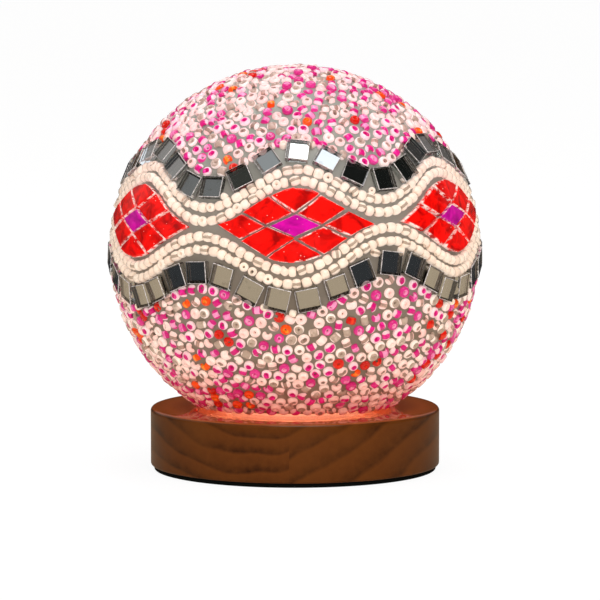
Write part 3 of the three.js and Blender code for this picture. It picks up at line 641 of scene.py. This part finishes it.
def spread_points(low_of, high_of, spacing, cover):
    """
    Azimuths and latitudes spread evenly but loosely between two edges: drawn at random, then pushed apart.
    cover is the share of the area that discs as wide as the spacing would cover.
    """
    rounds = 90
    give = 0.35  # how much of an overlap a round takes away
    azimuths = np.linspace(0, 360, 721)
    heights = np.sin(np.radians(high_of(azimuths))) - np.sin(np.radians(low_of(azimuths)))
    area = 2 * math.pi * ENVELOPE**2 * heights.mean()
    count = round(cover * area / (math.pi * (spacing / 2) ** 2))
    azimuth = np.interp(rng.uniform(0, 1, count), np.cumsum(heights) / heights.sum(), azimuths)
    low, high = np.sin(np.radians(low_of(azimuth))), np.sin(np.radians(high_of(azimuth)))
    latitude = np.degrees(np.arcsin(rng.uniform(0, 1, count) * (high - low) + low))
    for reach in spacing * np.linspace(1.5, 1, rounds):
        points = outward(azimuth, latitude) * ENVELOPE
        apart = points[:, None] - points[None]
        distance = np.linalg.norm(apart, axis=-1) + np.eye(count)
        push = np.clip(reach - distance, 0, None) / distance * give
        np.fill_diagonal(push, 0)
        points = unit(points + np.sum(apart * push[..., None], axis=1))
        azimuth = np.degrees(np.arctan2(points[:, 0], -points[:, 1])) % 360
        latitude = np.degrees(np.arcsin(points[:, 2]))
        latitude = np.clip(latitude, low_of(azimuth), high_of(azimuth))
    return azimuth, latitude


def random_lay(azimuth, latitude):
    """Loose beads as they fall: half end on, some on their sides, the rest tipped."""
    count = len(azimuth)
    normals = outward(azimuth, latitude)
    end_on, not_tipped = 0.5, 0.86  # shares of the beads
    kind = rng.uniform(0, 1, count)
    tip = np.where(kind < end_on, rng.uniform(0, 24, count), rng.uniform(70, 90, count))
    tip = np.where(kind > not_tipped, rng.uniform(30, 65, count), tip)
    lying = tangent(azimuth, latitude, rng.uniform(0, 2 * math.pi, count))
    tip = np.radians(tip)
    axes = normals * np.cos(tip)[:, None] + lying * np.sin(tip)[:, None]
    radii = BEAD_RADIUS * rng.uniform(0.88, 1.04, count)
    lengths = BEAD_LENGTH * rng.uniform(0.85, 1.12, count)
    reach = BEAD_FLATTENING * (radii * np.sin(tip) + lengths / 2 * np.cos(tip))
    top = ENVELOPE - rng.uniform(0.05, 0.5, count) * MM
    centres = normals * (top - reach)[:, None] + GLOBE_CENTRE
    return centres, axes, normals, radii, lengths


# kinds of loose bead: each takes the draws below its number that the kinds before it leave
BEAD_KINDS = {"pale": 0.39, "clear": 0.50, "magenta": 0.78, "rose": 0.93, "orange": 0.965, "scarlet": 1.0}


def bead_fields(looks):
    """The loose beads above and below the mirror bands, each field split by the colour of its beads."""
    edge = 5.35  # degrees from the middle of the mirror tiles to the middle of the nearest beads
    regions = {
        "upper": (lambda a: upper_mirrors(a) + edge, lambda a: 90 + 0 * a, 4.2 * MM, 0.82),
        "lower": (lambda a: BEAD_FOOT + 0 * a, lambda a: lower_mirrors(a) - edge, 4.0 * MM, 0.83),
    }
    for region, (low_of, high_of, spacing, cover) in regions.items():
        beads = random_lay(*spread_points(low_of, high_of, spacing, cover))
        draw = rng.uniform(0, 1, len(beads[0]))
        low = 0.0
        for kind, high in BEAD_KINDS.items():
            chosen = [values[(draw >= low) & (draw < high)] for values in beads]
            low = high
            replaced = (f"bead_field_{region}",) if kind == "pale" else ()
            name = f"beads_{region}_{kind}"
            add_beads(name, chosen, looks[kind], "pink_bead", replaced, flattening=BEAD_FLATTENING)


def bead_row(name, latitude_of, look, start):
    """A string of ivory beads laid end to end along a wavy line; a few stand up or lie across it."""
    azimuth, slope, gaps = along_band(latitude_of, 3.3 * MM, start, 0.16)
    count = len(azimuth)
    latitude = latitude_of(azimuth) + rng.normal(0, 0.10, count)
    normals = outward(azimuth, latitude)
    lean = np.radians(slope + rng.normal(0, 7, count))
    along = tangent(azimuth, latitude, lean)
    turned = rng.uniform(0, 1, count)
    standing, crosswise = turned < 0.07, turned > 0.94
    across = np.cross(normals, along)
    up = normals + 0.35 * across * rng.uniform(-1, 1, count)[:, None]
    axes = np.where(standing[:, None], up, along)
    axes = np.where(crosswise[:, None], across + 0.3 * along, axes)
    radii = BEAD_RADIUS * rng.uniform(0.83, 0.97, count)
    lengths = np.where(standing | crosswise, BEAD_LENGTH, gaps * 0.95)
    reach = np.where(standing, lengths / 2, radii)
    centres = normals * (ENVELOPE - 0.1 * MM - reach)[:, None] + GLOBE_CENTRE
    beads = (centres, axes, normals, radii, lengths)
    add_beads(name, beads, look, "ivory_bead", (name,), ROUND_BEAD_VERTICES)


def gap_beads(name, azimuth, latitude, look):
    """Single small beads in the gaps where the mirror tiles fan out round a bend of their band."""
    _, axes, normals, radii, lengths = random_lay(azimuth, latitude)
    radii = radii * 0.72
    centres = normals * (ENVELOPE - 0.3 * MM - radii)[:, None] + GLOBE_CENTRE
    add_beads(name, (centres, axes, normals, radii, lengths), look, "ivory_bead")


# ---- mirror tiles


BLOCK_FACES = 14  # back, front, and the three rings of four round the sides
FRONT_CHAMFER = 10  # the first face of the last ring


def block_meshes(frames, rectangles, low, high, chamfer):
    """
    Flat blocks with chamfered edges: vertices and faces. Each frame is (origin, x, y, normal), each
    rectangle (x low, x high, y low, y high) in it.
    """
    levels = ((chamfer, low), (0, low + chamfer), (0, high - chamfer), (chamfer, high))
    vertices, faces = [], []
    for (origin, x_axis, y_axis, normal), (x_low, x_high, y_low, y_high) in zip(frames, rectangles):
        first = len(vertices)
        for inset, level in levels:
            left, right = x_low + inset, x_high - inset
            near, far = y_low + inset, y_high - inset
            for x, y in ((left, near), (right, near), (right, far), (left, far)):
                vertices.append(origin + x_axis * x + y_axis * y + normal * level)
        rings = [[first + 4 * ring + k for k in range(4)] for ring in range(len(levels))]
        faces.append(rings[0][::-1])
        faces.append(rings[-1])
        for below, above in zip(rings, rings[1:]):
            for k in range(4):
                m = (k + 1) % 4
                faces.append([below[k], below[m], above[m], above[k]])
    return vertices, faces


def tile_backs(width, depth, outer):
    """
    Rectangles of a tile's back: the silver, the dark strip where the snapped outer edge slants, and the
    pale strip of one side.
    """
    x_low, x_high = -width / 2 + SILVER_INSET, width / 2 - SILVER_INSET
    y_low, y_high = -depth / 2 + SILVER_INSET, depth / 2 - SILVER_INSET
    snapped = rng.uniform(0.4, 0.9) * MM
    side = rng.choice([0.1, 0.35, 0.9]) * MM
    if outer > 0:
        dark = (x_low, x_high, y_high - snapped, y_high)
        y_high -= snapped
    else:
        dark = (x_low, x_high, y_low, y_low + snapped)
        y_low += snapped
    if rng.uniform() < 0.6:
        pale = (x_low, x_low + side, y_low, y_high)
        x_low += side
    else:
        pale = (x_high - side, x_high, y_low, y_high)
        x_high -= side
    return (x_low, x_high, y_low, y_high), dark, pale


def mirror_band(which, latitude_of, pitch, start, outer, looks):
    """
    Square mirror tiles, each a block of clear glass over its silvered back. outer is 1 if the band's outer
    side is the upper one, -1 if it is the lower one.
    """
    azimuth, slope, _ = along_band(latitude_of, pitch, start, 0.10)
    count = len(azimuth)
    latitude = latitude_of(azimuth) + rng.normal(0, 0.35, count)
    turn = np.radians(slope + rng.normal(0, 4.5, count))
    frames, sizes = [], []
    for a, b, t in zip(azimuth, latitude, turn):
        normal = unit(outward(a, b) + 0.018 * rng.normal(0, 1, 3))
        x_axis = tangent(a, b, t)
        x_axis = unit(x_axis - normal * np.dot(x_axis, normal))
        frames.append((on_globe(TILE_FOOT, a, b), x_axis, np.cross(normal, x_axis), normal))
        sizes.append(TILE_SIDE * rng.uniform(0.93, 1.03, 2))
    fronts = [(-width / 2, width / 2, -depth / 2, depth / 2) for width, depth in sizes]
    blocks = block_meshes(frames, fronts, 0, TILE_THICKNESS, chamfer=0.16 * MM)
    name, replaced = f"mirror_glass_{which}", (f"mirror_band_{which}",)
    glass = add_mesh(name, *blocks, "globe", "mirror_tile", looks["tile_glass"], replaced, smooth=False)
    glass.data.materials.append(looks["cut_edge"])
    for number, face in enumerate(glass.data.polygons):
        if number % BLOCK_FACES >= FRONT_CHAMFER:
            face.material_index = 1
    backs = zip(*(tile_backs(width, depth, outer) for width, depth in sizes))
    for part, rectangles in zip(("silver", "dark_edge", "pale_edge"), backs):
        blocks = block_meshes(frames, rectangles, *SILVER_LEVELS, chamfer=0.01 * MM)
        add_mesh(f"mirror_{part}_{which}", *blocks, "globe", "mirror_tile", looks[part], smooth=False)
    following = np.roll(azimuth, -1)
    following[-1] += 360
    between = (azimuth + following) / 2
    room = (following - azimuth) * np.cos(np.radians(latitude))
    bend = latitude_of(between) - latitude_of(np.arange(360.0)).mean()
    bent = 3.2  # degrees off the band's mean latitude
    to_gap = 3.7  # degrees from the middle of the tiles to a bead between their fanned corners
    fanned = (np.abs(bend) > bent) & (room > np.median(room))
    gap_azimuth = between[fanned]
    gap_latitude = latitude_of(gap_azimuth) + to_gap * np.sign(bend[fanned])
    gap_beads(f"gap_beads_{which}", gap_azimuth, gap_latitude, looks["ivory"])


# ---- coloured lozenges


def tile_spans():
    """Where three tiles start and end along a lozenge's side, which runs from -1 to 1."""
    side, gap = 2 / 3, 0.055
    return [(-1 + i * side + gap / 2, -1 + (i + 1) * side - gap / 2) for i in range(3)]


def in_lozenge(azimuth, uv):
    """Azimuth and latitude of points in a lozenge whose outline swells out to the bead rows."""
    across = (uv[..., 0] + uv[..., 1]) / 2
    rise = (uv[..., 0] - uv[..., 1]) / 2
    around = azimuth + LOZENGE_HALF_WIDTH * across
    middle = LOZENGE_LATITUDE + hand_laid(azimuth)
    row = 2.3  # degrees from the middle of a bead row to the tiles cut to follow it
    above = upper_inner_row(around) - row - middle
    below = middle - lower_inner_row(around) - row
    room = np.where(rise > 0, above, below)
    straight = LOZENGE_HALF_HEIGHT * np.maximum(1 - np.abs(across), 0.04)  # never 0, at the tips
    outer = np.clip((np.abs(uv).max(axis=-1) - 1 / 3) / (2 / 3), 0, 1)
    least, most = 0.75, 1.3  # how far the outline may draw in or swell out
    swell = 1 + outer * (np.clip(room / straight, least, most) - 1)
    return around, middle + LOZENGE_HALF_HEIGHT * rise * swell


def stained_tile(azimuth, u_span, v_span):
    """
    One hand-cut tile of a lozenge: vertices, faces, and for each vertex 1 at the tile's edge, falling to 0
    where the edge's chips end.
    """
    edges = np.array([0, 0.012, 0.03, 0.06, 0.1])
    steps = np.concatenate([edges, np.linspace(0.2, 0.8, 7), 1 - edges[::-1]])
    s, t = np.meshgrid(steps, steps, indexing="ij")
    corners = np.array([[(u, v) for v in v_span] for u in u_span]) + rng.uniform(-0.025, 0.025, (2, 2, 2))

    def between(values):
        """Straight interpolation over the tile of values at its four corners."""
        low = values[0, 0] * (1 - t) + values[0, 1] * t
        return low * (1 - s) + (values[1, 0] * (1 - t) + values[1, 1] * t) * s

    corner_around, corner_up = in_lozenge(azimuth, corners)
    around, up = between(corner_around), between(corner_up)
    curved = in_lozenge(azimuth, np.stack([between(corners[..., 0]), between(corners[..., 1])], axis=-1))[1]
    outside = np.zeros_like(s)
    for span, share in ((u_span, s), (v_span, t)):
        if span[0] < -0.9:
            outside = np.maximum(outside, 1 - share)
        if span[1] > 0.9:
            outside = np.maximum(outside, share)
    up = up + (curved - up) * outside**2
    from_sides = np.stack([s, 1 - s, t, 1 - t]) * STAINED_TILE_SIDE
    chipped = from_sides / chip_rng.choice(CHIP_WIDTHS, 4)[:, None, None]
    fall_width, fall_depth = 0.6 * MM, 0.4 * MM  # of the rounded edge
    fall = np.clip(1 - from_sides.min(axis=0) / fall_width, 0, 1) ** 2 * fall_depth
    wave_height = 0.07 * MM * np.sin(around * 1.9 + up * 1.3) * np.cos(up * 1.7 - around * 0.8)
    tilt = rng.uniform(-0.15, 0.15, 2) * MM
    lift = tilt[0] * (s - 0.5) + tilt[1] * (t - 0.5)
    radius = TILE_FOOT + STAINED_TILE_THICKNESS - fall + wave_height + lift
    top = on_globe(radius[..., None], around, up)
    foot = on_globe(TILE_FOOT, around, up)
    count = len(steps)
    vertices = np.concatenate([top.reshape(-1, 3), foot.reshape(-1, 3)])
    index = np.arange(count * count).reshape(count, count)
    below = index + count * count
    faces = []
    for i in range(count - 1):
        for k in range(count - 1):
            faces.append([index[i, k], index[i + 1, k], index[i + 1, k + 1], index[i, k + 1]])
            faces.append([below[i, k], below[i, k + 1], below[i + 1, k + 1], below[i + 1, k]])
    rim_loop = [*index[:, 0], *index[-1, 1:], *index[-2::-1, -1], *index[0, -2:0:-1]]
    for a, b in zip(rim_loop, rim_loop[1:] + rim_loop[:1]):
        faces.append([a, a + count * count, b + count * count, b])
    rim = np.clip(1 - chipped.min(axis=0), 0, 1).ravel()
    return vertices, faces, np.concatenate([rim, np.ones(count * count)])


def add_stained(name, tiles, look, slot, replaced):
    """Lozenge tiles of one colour, as one piece."""
    vertices, faces, rims = [], [], []
    for points, tile_faces, rim in tiles:
        first = sum(len(v) for v in vertices)
        vertices.append(points)
        rims.append(rim)
        faces.extend([[i + first for i in face] for face in tile_faces])
    vertices, rims = np.concatenate(vertices), np.concatenate(rims)
    piece = add_mesh(name, vertices, faces, "globe", slot, look, (replaced,), rim=rims)
    piece.data.set_sharp_from_angle(angle=math.radians(50))


def lozenges(looks):
    """Lozenges of eight red tiles round a magenta one."""
    spans = tile_spans()
    for number in range(LOZENGES):
        azimuth = 360 / LOZENGES * number
        red = [
            stained_tile(azimuth, spans[i], spans[k])
            for i in range(3)
            for k in range(3)
            if (i, k) != (1, 1)
        ]
        centre = [stained_tile(azimuth, spans[1], spans[1])]
        n = number + 1
        add_stained(f"red_tiles_{n}", red, looks["red"], "red_glass", f"lozenge_red_tiles_{n}")
        add_stained(
            f"centre_tile_{n}", centre, looks["centre"], "magenta_glass", f"lozenge_centre_tile_{n}"
        )


# ---- globe and base


def sphere_latitude(sphere, radius):
    """Latitude below the equator at which a sphere is this wide."""
    return -math.degrees(math.acos(radius / sphere))


def glass_globe(look):
    """The blown globe, open at its short neck."""
    inner = GLASS_RADIUS - GLASS_THICKNESS
    inner_neck = NECK_RADIUS - GLASS_THICKNESS
    rim = GLASS_LOW.z
    round_over = GLASS_THICKNESS / 2
    fillet = 0.5 * MM
    profile = [
        *arc(GLASS_RADIUS, 90, sphere_latitude(GLASS_RADIUS, NECK_RADIUS + fillet), 60, CENTRE_Z),
        (NECK_RADIUS + 0.1 * MM, NECK_START),
        *arc(round_over, 0, -180, 8, rim + round_over, NECK_RADIUS - round_over),
        *arc(inner, sphere_latitude(inner, inner_neck), 90, 60, CENTRE_Z),
    ]
    lathe("globe_glass", profile, 128, "globe", "clear_glass", look, "glass_globe")


def adhesive_bed(look):
    """The layer that the mosaic is pressed into, uneven as it was spread by hand."""
    profile = [
        *arc(BED_RADIUS, 90, BED_FOOT, 150, CENTRE_Z),
        *arc(GLASS_RADIUS + 0.15 * MM, BED_FOOT - 0.4, 90, 90, CENTRE_Z),
    ]
    piece = lathe("mosaic_bed", profile, 240, "globe", "grey_bed", look, "adhesive_bed", crease_angle=60)
    centre = Vector(GLOBE_CENTRE)
    for vertex in piece.data.vertices:
        out = vertex.co - centre
        if out.length < GLASS_RADIUS + 0.3 * MM:
            continue
        a = math.atan2(out.x, -out.y)
        b = math.atan2(out.z, math.hypot(out.x, out.y))
        swell = math.sin(9 * a + 7 * b) * math.cos(13 * b - 4 * a) + 0.6 * math.sin(23 * a - 17 * b)
        above = math.degrees(b) - upper_mirrors(math.degrees(a))
        below = lower_mirrors(math.degrees(a)) - math.degrees(b)
        rise = min(max((max(above, below) - TILES_TO_RISE) / RISE_WIDTH, 0), 1)
        vertex.co += out.normalized() * (0.08 * MM * swell * math.cos(b) + BED_RISE * rise)


POCKET_RADIUS = 28.3 * MM
POCKET_FLOOR = RING_LOW.z
CAVITY_RADIUS = 39.5 * MM
CAVITY_ROOF = POCKET_FLOOR - 3.0 * MM
COVER_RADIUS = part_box("bottom_cover")[1].x
COVER_TOP = WOOD_LOW.z + 1.5 * MM
CLEARANCE = 0.3 * MM
WIRE_HOLE_RADIUS = 3 * MM
WIRE_HOLE_Y = 14 * MM


def cut_with(piece, cutter, location, scale=(1, 1, 1)):
    """Cuts a helper box or rod out of a piece and removes the helper."""
    cutter.location = location
    cutter.scale = scale
    bpy.context.view_layer.update()
    modifier = piece.modifiers.new("cut", "BOOLEAN")
    modifier.operation = "DIFFERENCE"
    modifier.solver = "EXACT"
    modifier.object = cutter
    evaluated = piece.evaluated_get(bpy.context.evaluated_depsgraph_get())
    cut_mesh = bpy.data.meshes.new_from_object(evaluated)
    piece.modifiers.clear()
    piece.data = cut_mesh
    bpy.data.objects.remove(cutter)


def wood_base(looks):
    """The turned base, with its notch for the rear plate and its hole for the wires."""
    radius = WOOD_HIGH.x
    low, high = WOOD_LOW.z, WOOD_HIGH.z
    foot_round, top_round = 0.9 * MM, 1.3 * MM
    profile = [
        (0, CAVITY_ROOF),
        (CAVITY_RADIUS, CAVITY_ROOF),
        (CAVITY_RADIUS, COVER_TOP),
        (COVER_RADIUS + CLEARANCE, COVER_TOP),
        (COVER_RADIUS + CLEARANCE, low),
        *arc(foot_round, -90, 0, 5, low + foot_round, radius - foot_round),
        *arc(top_round, 0, 90, 7, high - top_round, radius - top_round),
        *arc(0.4 * MM, 90, 180, 4, high - 0.4 * MM, POCKET_RADIUS + 0.4 * MM),
        (POCKET_RADIUS, POCKET_FLOOR),
        (0, POCKET_FLOOR),
    ]
    piece = lathe("turned_wood", profile, 180, "base", "dark_wood", looks["wood"], "wood_base")
    notch_low = Vector((PLATE_LOW.x - CLEARANCE, 30 * MM, PLATE_LOW.z - CLEARANCE))
    notch_high = Vector((PLATE_HIGH.x + CLEARANCE, radius + 1 * MM, PLATE_HIGH.z + CLEARANCE))
    bpy.ops.mesh.primitive_cube_add(size=1)
    cut_with(piece, bpy.context.object, (notch_low + notch_high) / 2, notch_high - notch_low)
    bpy.ops.mesh.primitive_cylinder_add(vertices=24, radius=WIRE_HOLE_RADIUS, depth=8 * MM)
    cut_with(piece, bpy.context.object, (0, WIRE_HOLE_Y, POCKET_FLOOR - 1.5 * MM))
    piece.data.shade_smooth()
    piece.data.set_sharp_from_angle(angle=math.radians(30))
    piece.data.materials.clear()
    piece.data.materials.append(looks["wood"])
    piece.data.materials.append(looks["wood_top"])
    for face in piece.data.polygons:
        if face.center.z > high - top_round * 0.5:
            face.material_index = 1


def base_trim(looks):
    """The pad, the neck ring and the diffuser."""
    soft = 0.35 * MM
    pad = [
        (0, PAD_LOW.z),
        *arc(soft, -90, 0, 3, PAD_LOW.z + soft, PAD_HIGH.x - soft),
        *arc(soft, 0, 90, 3, PAD_HIGH.z - soft, PAD_HIGH.x - soft),
        (0, PAD_HIGH.z),
    ]
    lathe("foot_pad", pad, 160, "base", "black_foam", looks["foam"], "base_pad")

    seat_top = RING_LOW.z + 0.66 * MM
    lip = NECK_RADIUS + CLEARANCE
    seat = NECK_RADIUS - GLASS_THICKNESS - 0.2 * MM
    outer = RING_HIGH.x
    ring = [
        (seat, RING_LOW.z),
        (outer, RING_LOW.z),
        (outer, RING_HIGH.z),
        (lip, RING_HIGH.z),
        (lip, seat_top),
        (seat, seat_top),
    ]
    ring = rounded(ring, 0.25 * MM)
    lathe("socket_ring", ring, 120, "base", "silicone", looks["silicone"], "neck_ring", crease_angle=50)

    foot = DIFFUSER_LOW.z
    wall_top = foot + 4 * MM
    rise = DIFFUSER_HIGH.z - wall_top
    wall = 1.5 * MM
    radius = DIFFUSER_HIGH.x
    dome = [(c * radius, wall_top + s * rise) for c, s in arc(1, 0, 90, 16)]
    hollow = [(c * (radius - wall), wall_top + s * (rise - wall)) for c, s in arc(1, 90, 0, 16)]
    profile = [*dome[::-1], (radius, foot), (radius - wall, foot), *hollow[::-1]]
    lathe("opal_diffuser", profile, 96, "base", "opal", looks["opal"], "diffuser")


def power_button(look):
    """A turned push button with a shallow dish in its face."""
    low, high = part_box("power_button")
    middle = (low + high) / 2
    collar = (high.x - low.x) / 2
    cap, stem = collar - 0.7 * MM, 1.2 * MM
    collar_far = PLATE_LOW.y - CLEARANCE
    collar_near = collar_far - 1 * MM
    edge = 0.6 * MM
    profile = [
        (0, low.y),
        (stem, low.y),
        (stem, collar_near),
        (collar, collar_near),
        (collar, collar_far),
        (cap, collar_far),
        (cap, high.y - edge),
        *arc(edge, 20, 90, 4, high.y - edge, cap - edge),
        (cap * 0.55, high.y - 0.1 * MM),
        (cap * 0.25, high.y - 0.35 * MM),
        (0, high.y - 0.4 * MM),
    ]
    piece = lathe("push_button", profile, 48, "button", "black_plastic", look, "power_button")
    for vertex in piece.data.vertices:
        x, y, z = vertex.co
        vertex.co = (middle.x + x, z, middle.z - y)


def finish_cad_nodes(looks):
    """Gives each CAD node that stays in view its material."""
    screws = [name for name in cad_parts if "screw" in name]
    leds = [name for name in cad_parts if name.startswith("led_") and name[4:].isdigit()]
    chosen = {
        "plastic": ("bottom_cover", "rear_plate", "switch_body"),
        "green_board": ("charge_board",),
        "white_board": ("led_board",),
        "foil": ("battery",),
        "tape": ("battery_tape",),
        "red_wire": ("battery_wire_red", "led_wire_red"),
        "black_wire": ("battery_wire_black", "led_wire_black"),
        "steel": ("usb_c_socket", *screws),
        "led": leds,
    }
    for kind, names in chosen.items():
        for name in names:
            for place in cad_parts[name].material_slots:
                place.material = looks[kind]


# ---- studio


def studio_world():
    """White to the camera, even soft light to matt surfaces, and softboxes and flags to shiny ones."""
    world = bpy.data.worlds.new("studio")
    bpy.context.scene.world = world
    world.use_nodes = True
    nodes = Nodes(world.node_tree)
    rays = nodes.node("LightPath")
    aim = nodes.node("TexCoord").outputs["Generated"]

    def patch(seen, azimuth, elevation, radius, soft, colour):
        """A round patch of the surroundings, its edge softened over the given degrees."""
        centre = tuple(outward(azimuth, elevation))
        towards = nodes.node("VectorMath", {0: aim, 1: centre}, operation="DOT_PRODUCT")
        outside = math.cos(math.radians(radius + soft))
        inside = math.cos(math.radians(radius - soft))
        share = nodes.span(towards.outputs["Value"], outside, inside, interpolation="SMOOTHSTEP")
        return nodes.mix(share, seen, colour)

    seen = (0.072, 0.062, 0.052)  # where there is no patch
    patches = [  # azimuth, elevation, radius, soft, colour; later ones lie over earlier ones
        (-80, 36, 30, 8, (0.17, 0.17, 0.17)),
        (178, 44, 34, 8, (0.30, 0.30, 0.31)),
        (-132, 36, 27, 8, (0.30, 0.28, 0.27)),
        (130, 36, 25, 8, (0.19, 0.17, 0.165)),
        (180, 0, 22, 7, (0.060, 0.026, 0.010)),
        (85, 34, 33, 6, (0.010, 0.011, 0.010)),
        (-46, 48, 10, 3, (0.045, 0.045, 0.04)),
        (-30, 61, 9, 3, (0.32, 0.33, 0.34)),
        (36, 55, 10, 2, (1.15, 1.20, 1.30)),
        (3, 72, 15, 1.5, (3.2, 3.2, 3.2)),
        (200, 58, 13, 1.5, (2.4, 2.4, 2.4)),
    ]
    for azimuth, elevation, radius, soft, colour in patches:
        seen = patch(seen, azimuth, elevation, radius, soft, colour)
    light = nodes.mix(rays.outputs["Is Diffuse Ray"], seen, (0.50, 0.49, 0.48))
    light = nodes.mix(rays.outputs["Is Camera Ray"], light, (1.0, 1.0, 1.0))
    nodes.link(light, nodes.tree.nodes["Background"].inputs["Color"])


def area_light(name, azimuth, elevation, distance, size, watts, colour=(1, 1, 1)):
    """A soft panel aimed at the lamp, which shiny surfaces don't see."""
    lamp = bpy.data.lights.new(name, "AREA")
    lamp.shape = "DISK"
    lamp.size = size
    lamp.energy = watts
    lamp.color = colour
    place = bpy.data.objects.new(name, lamp)
    aim = Vector((0, 0, CENTRE_Z * 0.9))
    place.location = aim + Vector(outward(azimuth, elevation)) * distance
    place.rotation_euler = (aim - place.location).to_track_quat("-Z", "Y").to_euler()
    place.visible_glossy = False
    place.visible_transmission = False
    place.visible_camera = False
    bpy.context.scene.collection.objects.link(place)


def lights():
    # name, azimuth, elevation, distance, size, watts, colour
    area_light("key", 25, 52, 1.6, 1.1, 4.8, (1.0, 0.98, 0.97))
    area_light("fill", -40, 20, 1.7, 1.2, 3.6, (0.98, 0.98, 1.0))
    area_light("top", 150, 75, 1.5, 1.0, 5.0)
    area_light("low", 10, 4, 1.6, 0.7, 9.5, (1.0, 0.96, 0.91))
    inside = bpy.data.lights.new("inside", "POINT")
    inside.shadow_soft_size = 8 * MM
    inside.energy = 0.27
    inside.color = (1.0, 0.25, 0.12)
    place = bpy.data.objects.new("inside", inside)
    place.location = (0, 0, DIFFUSER_HIGH.z + 9 * MM)
    place.visible_glossy = False
    bpy.context.scene.collection.objects.link(place)


def floor():
    """Pale floor. Shiny surfaces see it as a table of darker, warmer grey with an edge 0.42 m out."""
    size = 60.0
    sides = 64
    turn = np.linspace(0, 2 * math.pi, sides, endpoint=False)
    mesh = bpy.data.meshes.new("floor")
    mesh.from_pydata([(size * math.cos(t), size * math.sin(t), 0) for t in turn], [], [list(range(sides))])
    piece = bpy.data.objects.new("floor", mesh)
    bpy.context.scene.collection.objects.link(piece)
    look = Look("floor", (0.86, 0.86, 0.86), 0.8)
    rays = look.node("LightPath")
    white = look.node("Emission", {"Strength": 1.06}).outputs[0]
    paling = look.math("MULTIPLY", rays.outputs["Is Camera Ray"], 0.86)
    paled = look.node("MixShader", {0: paling, 1: look.shader.outputs[0], 2: white}).outputs[0]
    away = look.node("VectorMath", {0: look.place()}, operation="LENGTH").outputs["Value"]
    beyond_table = look.span(away, 0.40, 0.44)
    table = look.mix(beyond_table, (0.45, 0.35, 0.245), (0.035, 0.037, 0.04))
    seen = look.node("Emission", {"Color": table}).outputs[0]
    matt = look.math("ADD", rays.outputs["Is Camera Ray"], rays.outputs["Is Diffuse Ray"])
    matt = look.math("ADD", matt, rays.outputs["Is Shadow Ray"])
    shiny = look.math("SUBTRACT", 1.0, matt, clamp=True)
    choice = look.node("MixShader", {0: shiny, 1: paled, 2: seen}).outputs[0]
    look.link(choice, look.tree.nodes["Material Output"].inputs["Surface"])
    mesh.materials.append(look.material)


def camera():
    """A long lens 1.5 m in front and a little above the lamp, placed by the ellipses of its base."""
    made = bpy.data.cameras.new("camera")
    made.sensor_width = 36
    made.lens = 257.3
    made.clip_start = 0.1
    made.clip_end = 50
    place = bpy.data.objects.new("camera", made)
    place.location = (0, -1.490, 0.2128)
    aim = Vector((0.00175, 0, 0.05905))
    place.rotation_euler = (aim - place.location).to_track_quat("-Z", "Y").to_euler()
    bpy.context.scene.collection.objects.link(place)
    bpy.context.scene.camera = place


# ---- putting it together

camera()
studio_world()
lights()
floor()

looks = {
    "wood": wood_look("dark_wood", 0.22, 0.05),
    "wood_top": wood_look("dark_wood_top", 1.0, 0.025),
    "foam": foam_look(),
    "plastic": plastic_look("black_plastic", (0.012, 0.012, 0.012)),
    "tape": plastic_look("foam_tape", (0.6, 0.58, 0.55), 1.2),
    "steel": steel_look(),
    "green_board": board_look("green_board", (0.02, 0.10, 0.045), (0.05, 0.2, 0.09)),
    "white_board": board_look("white_board", (0.72, 0.72, 0.70), (0.6, 0.6, 0.57)),
    "led": lit_look("led_face", (1.0, 0.8, 0.4), (1.0, 0.72, 0.42), 4.0),
    "opal": lit_look("opal", (0.9, 0.86, 0.8), (1.0, 0.28, 0.15), 0.42),
    "silicone": rubber_look("silicone", (0.02, 0.02, 0.02)),
    "red_wire": rubber_look("red_wire", (0.45, 0.02, 0.02)),
    "black_wire": rubber_look("black_wire", (0.01, 0.01, 0.01)),
    "foil": foil_look(),
    "glass": globe_glass_look(),
    "bed": bed_look(),
    "silver": silver_look(),
    "tile_glass": tile_glass_look(),
    "cut_edge": cut_edge_look("cut_edge", (0.26, 0.24, 0.24), (0.66, 0.60, 0.58), (0.95, 0.90, 0.88)),
    "dark_edge": cut_edge_look(
        "dark_edge", (0.004, 0.004, 0.004), (0.008, 0.007, 0.006), (0.22, 0.19, 0.17)
    ),
    "pale_edge": cut_edge_look("pale_edge", (0.55, 0.48, 0.45), (0.85, 0.76, 0.73), (1.0, 0.96, 0.94)),
    "red": stained_glass_look("red_glass", (0.92, 0.004, 0.002), (0.30, 0.001, 0.001), 0.21),
    "centre": stained_glass_look("magenta_glass", (0.64, 0.003, 0.33), (0.32, 0.001, 0.18), 0.15),
    **{kind: bead_look(f"{kind}_bead", *colours, **BEAD_LIGHT[kind]) for kind, colours in BEAD_GLASS.items()},
}

glass_globe(looks["glass"])
adhesive_bed(looks["bed"])
lozenges(looks)
mirror_band("upper", upper_mirrors, pitch=10.3 * MM, start=1.0, outer=1, looks=looks)
mirror_band("lower", lower_mirrors, pitch=10.2 * MM, start=4.0, outer=-1, looks=looks)
rows = {
    "upper_outer": (upper_outer_row, 1.0),
    "upper_inner": (upper_inner_row, 0.0),
    "lower_inner": (lower_inner_row, 2.0),
    "lower_outer": (lower_outer_row, 0.5),
}
for place, (latitude_of, start) in rows.items():
    bead_row(f"bead_row_{place}", latitude_of, looks["ivory"], start)
bead_fields(looks)
wood_base(looks)
base_trim(looks)
power_button(looks["plastic"])
finish_cad_nodes(looks)

bpy.context.scene.view_settings.view_transform = "Standard"
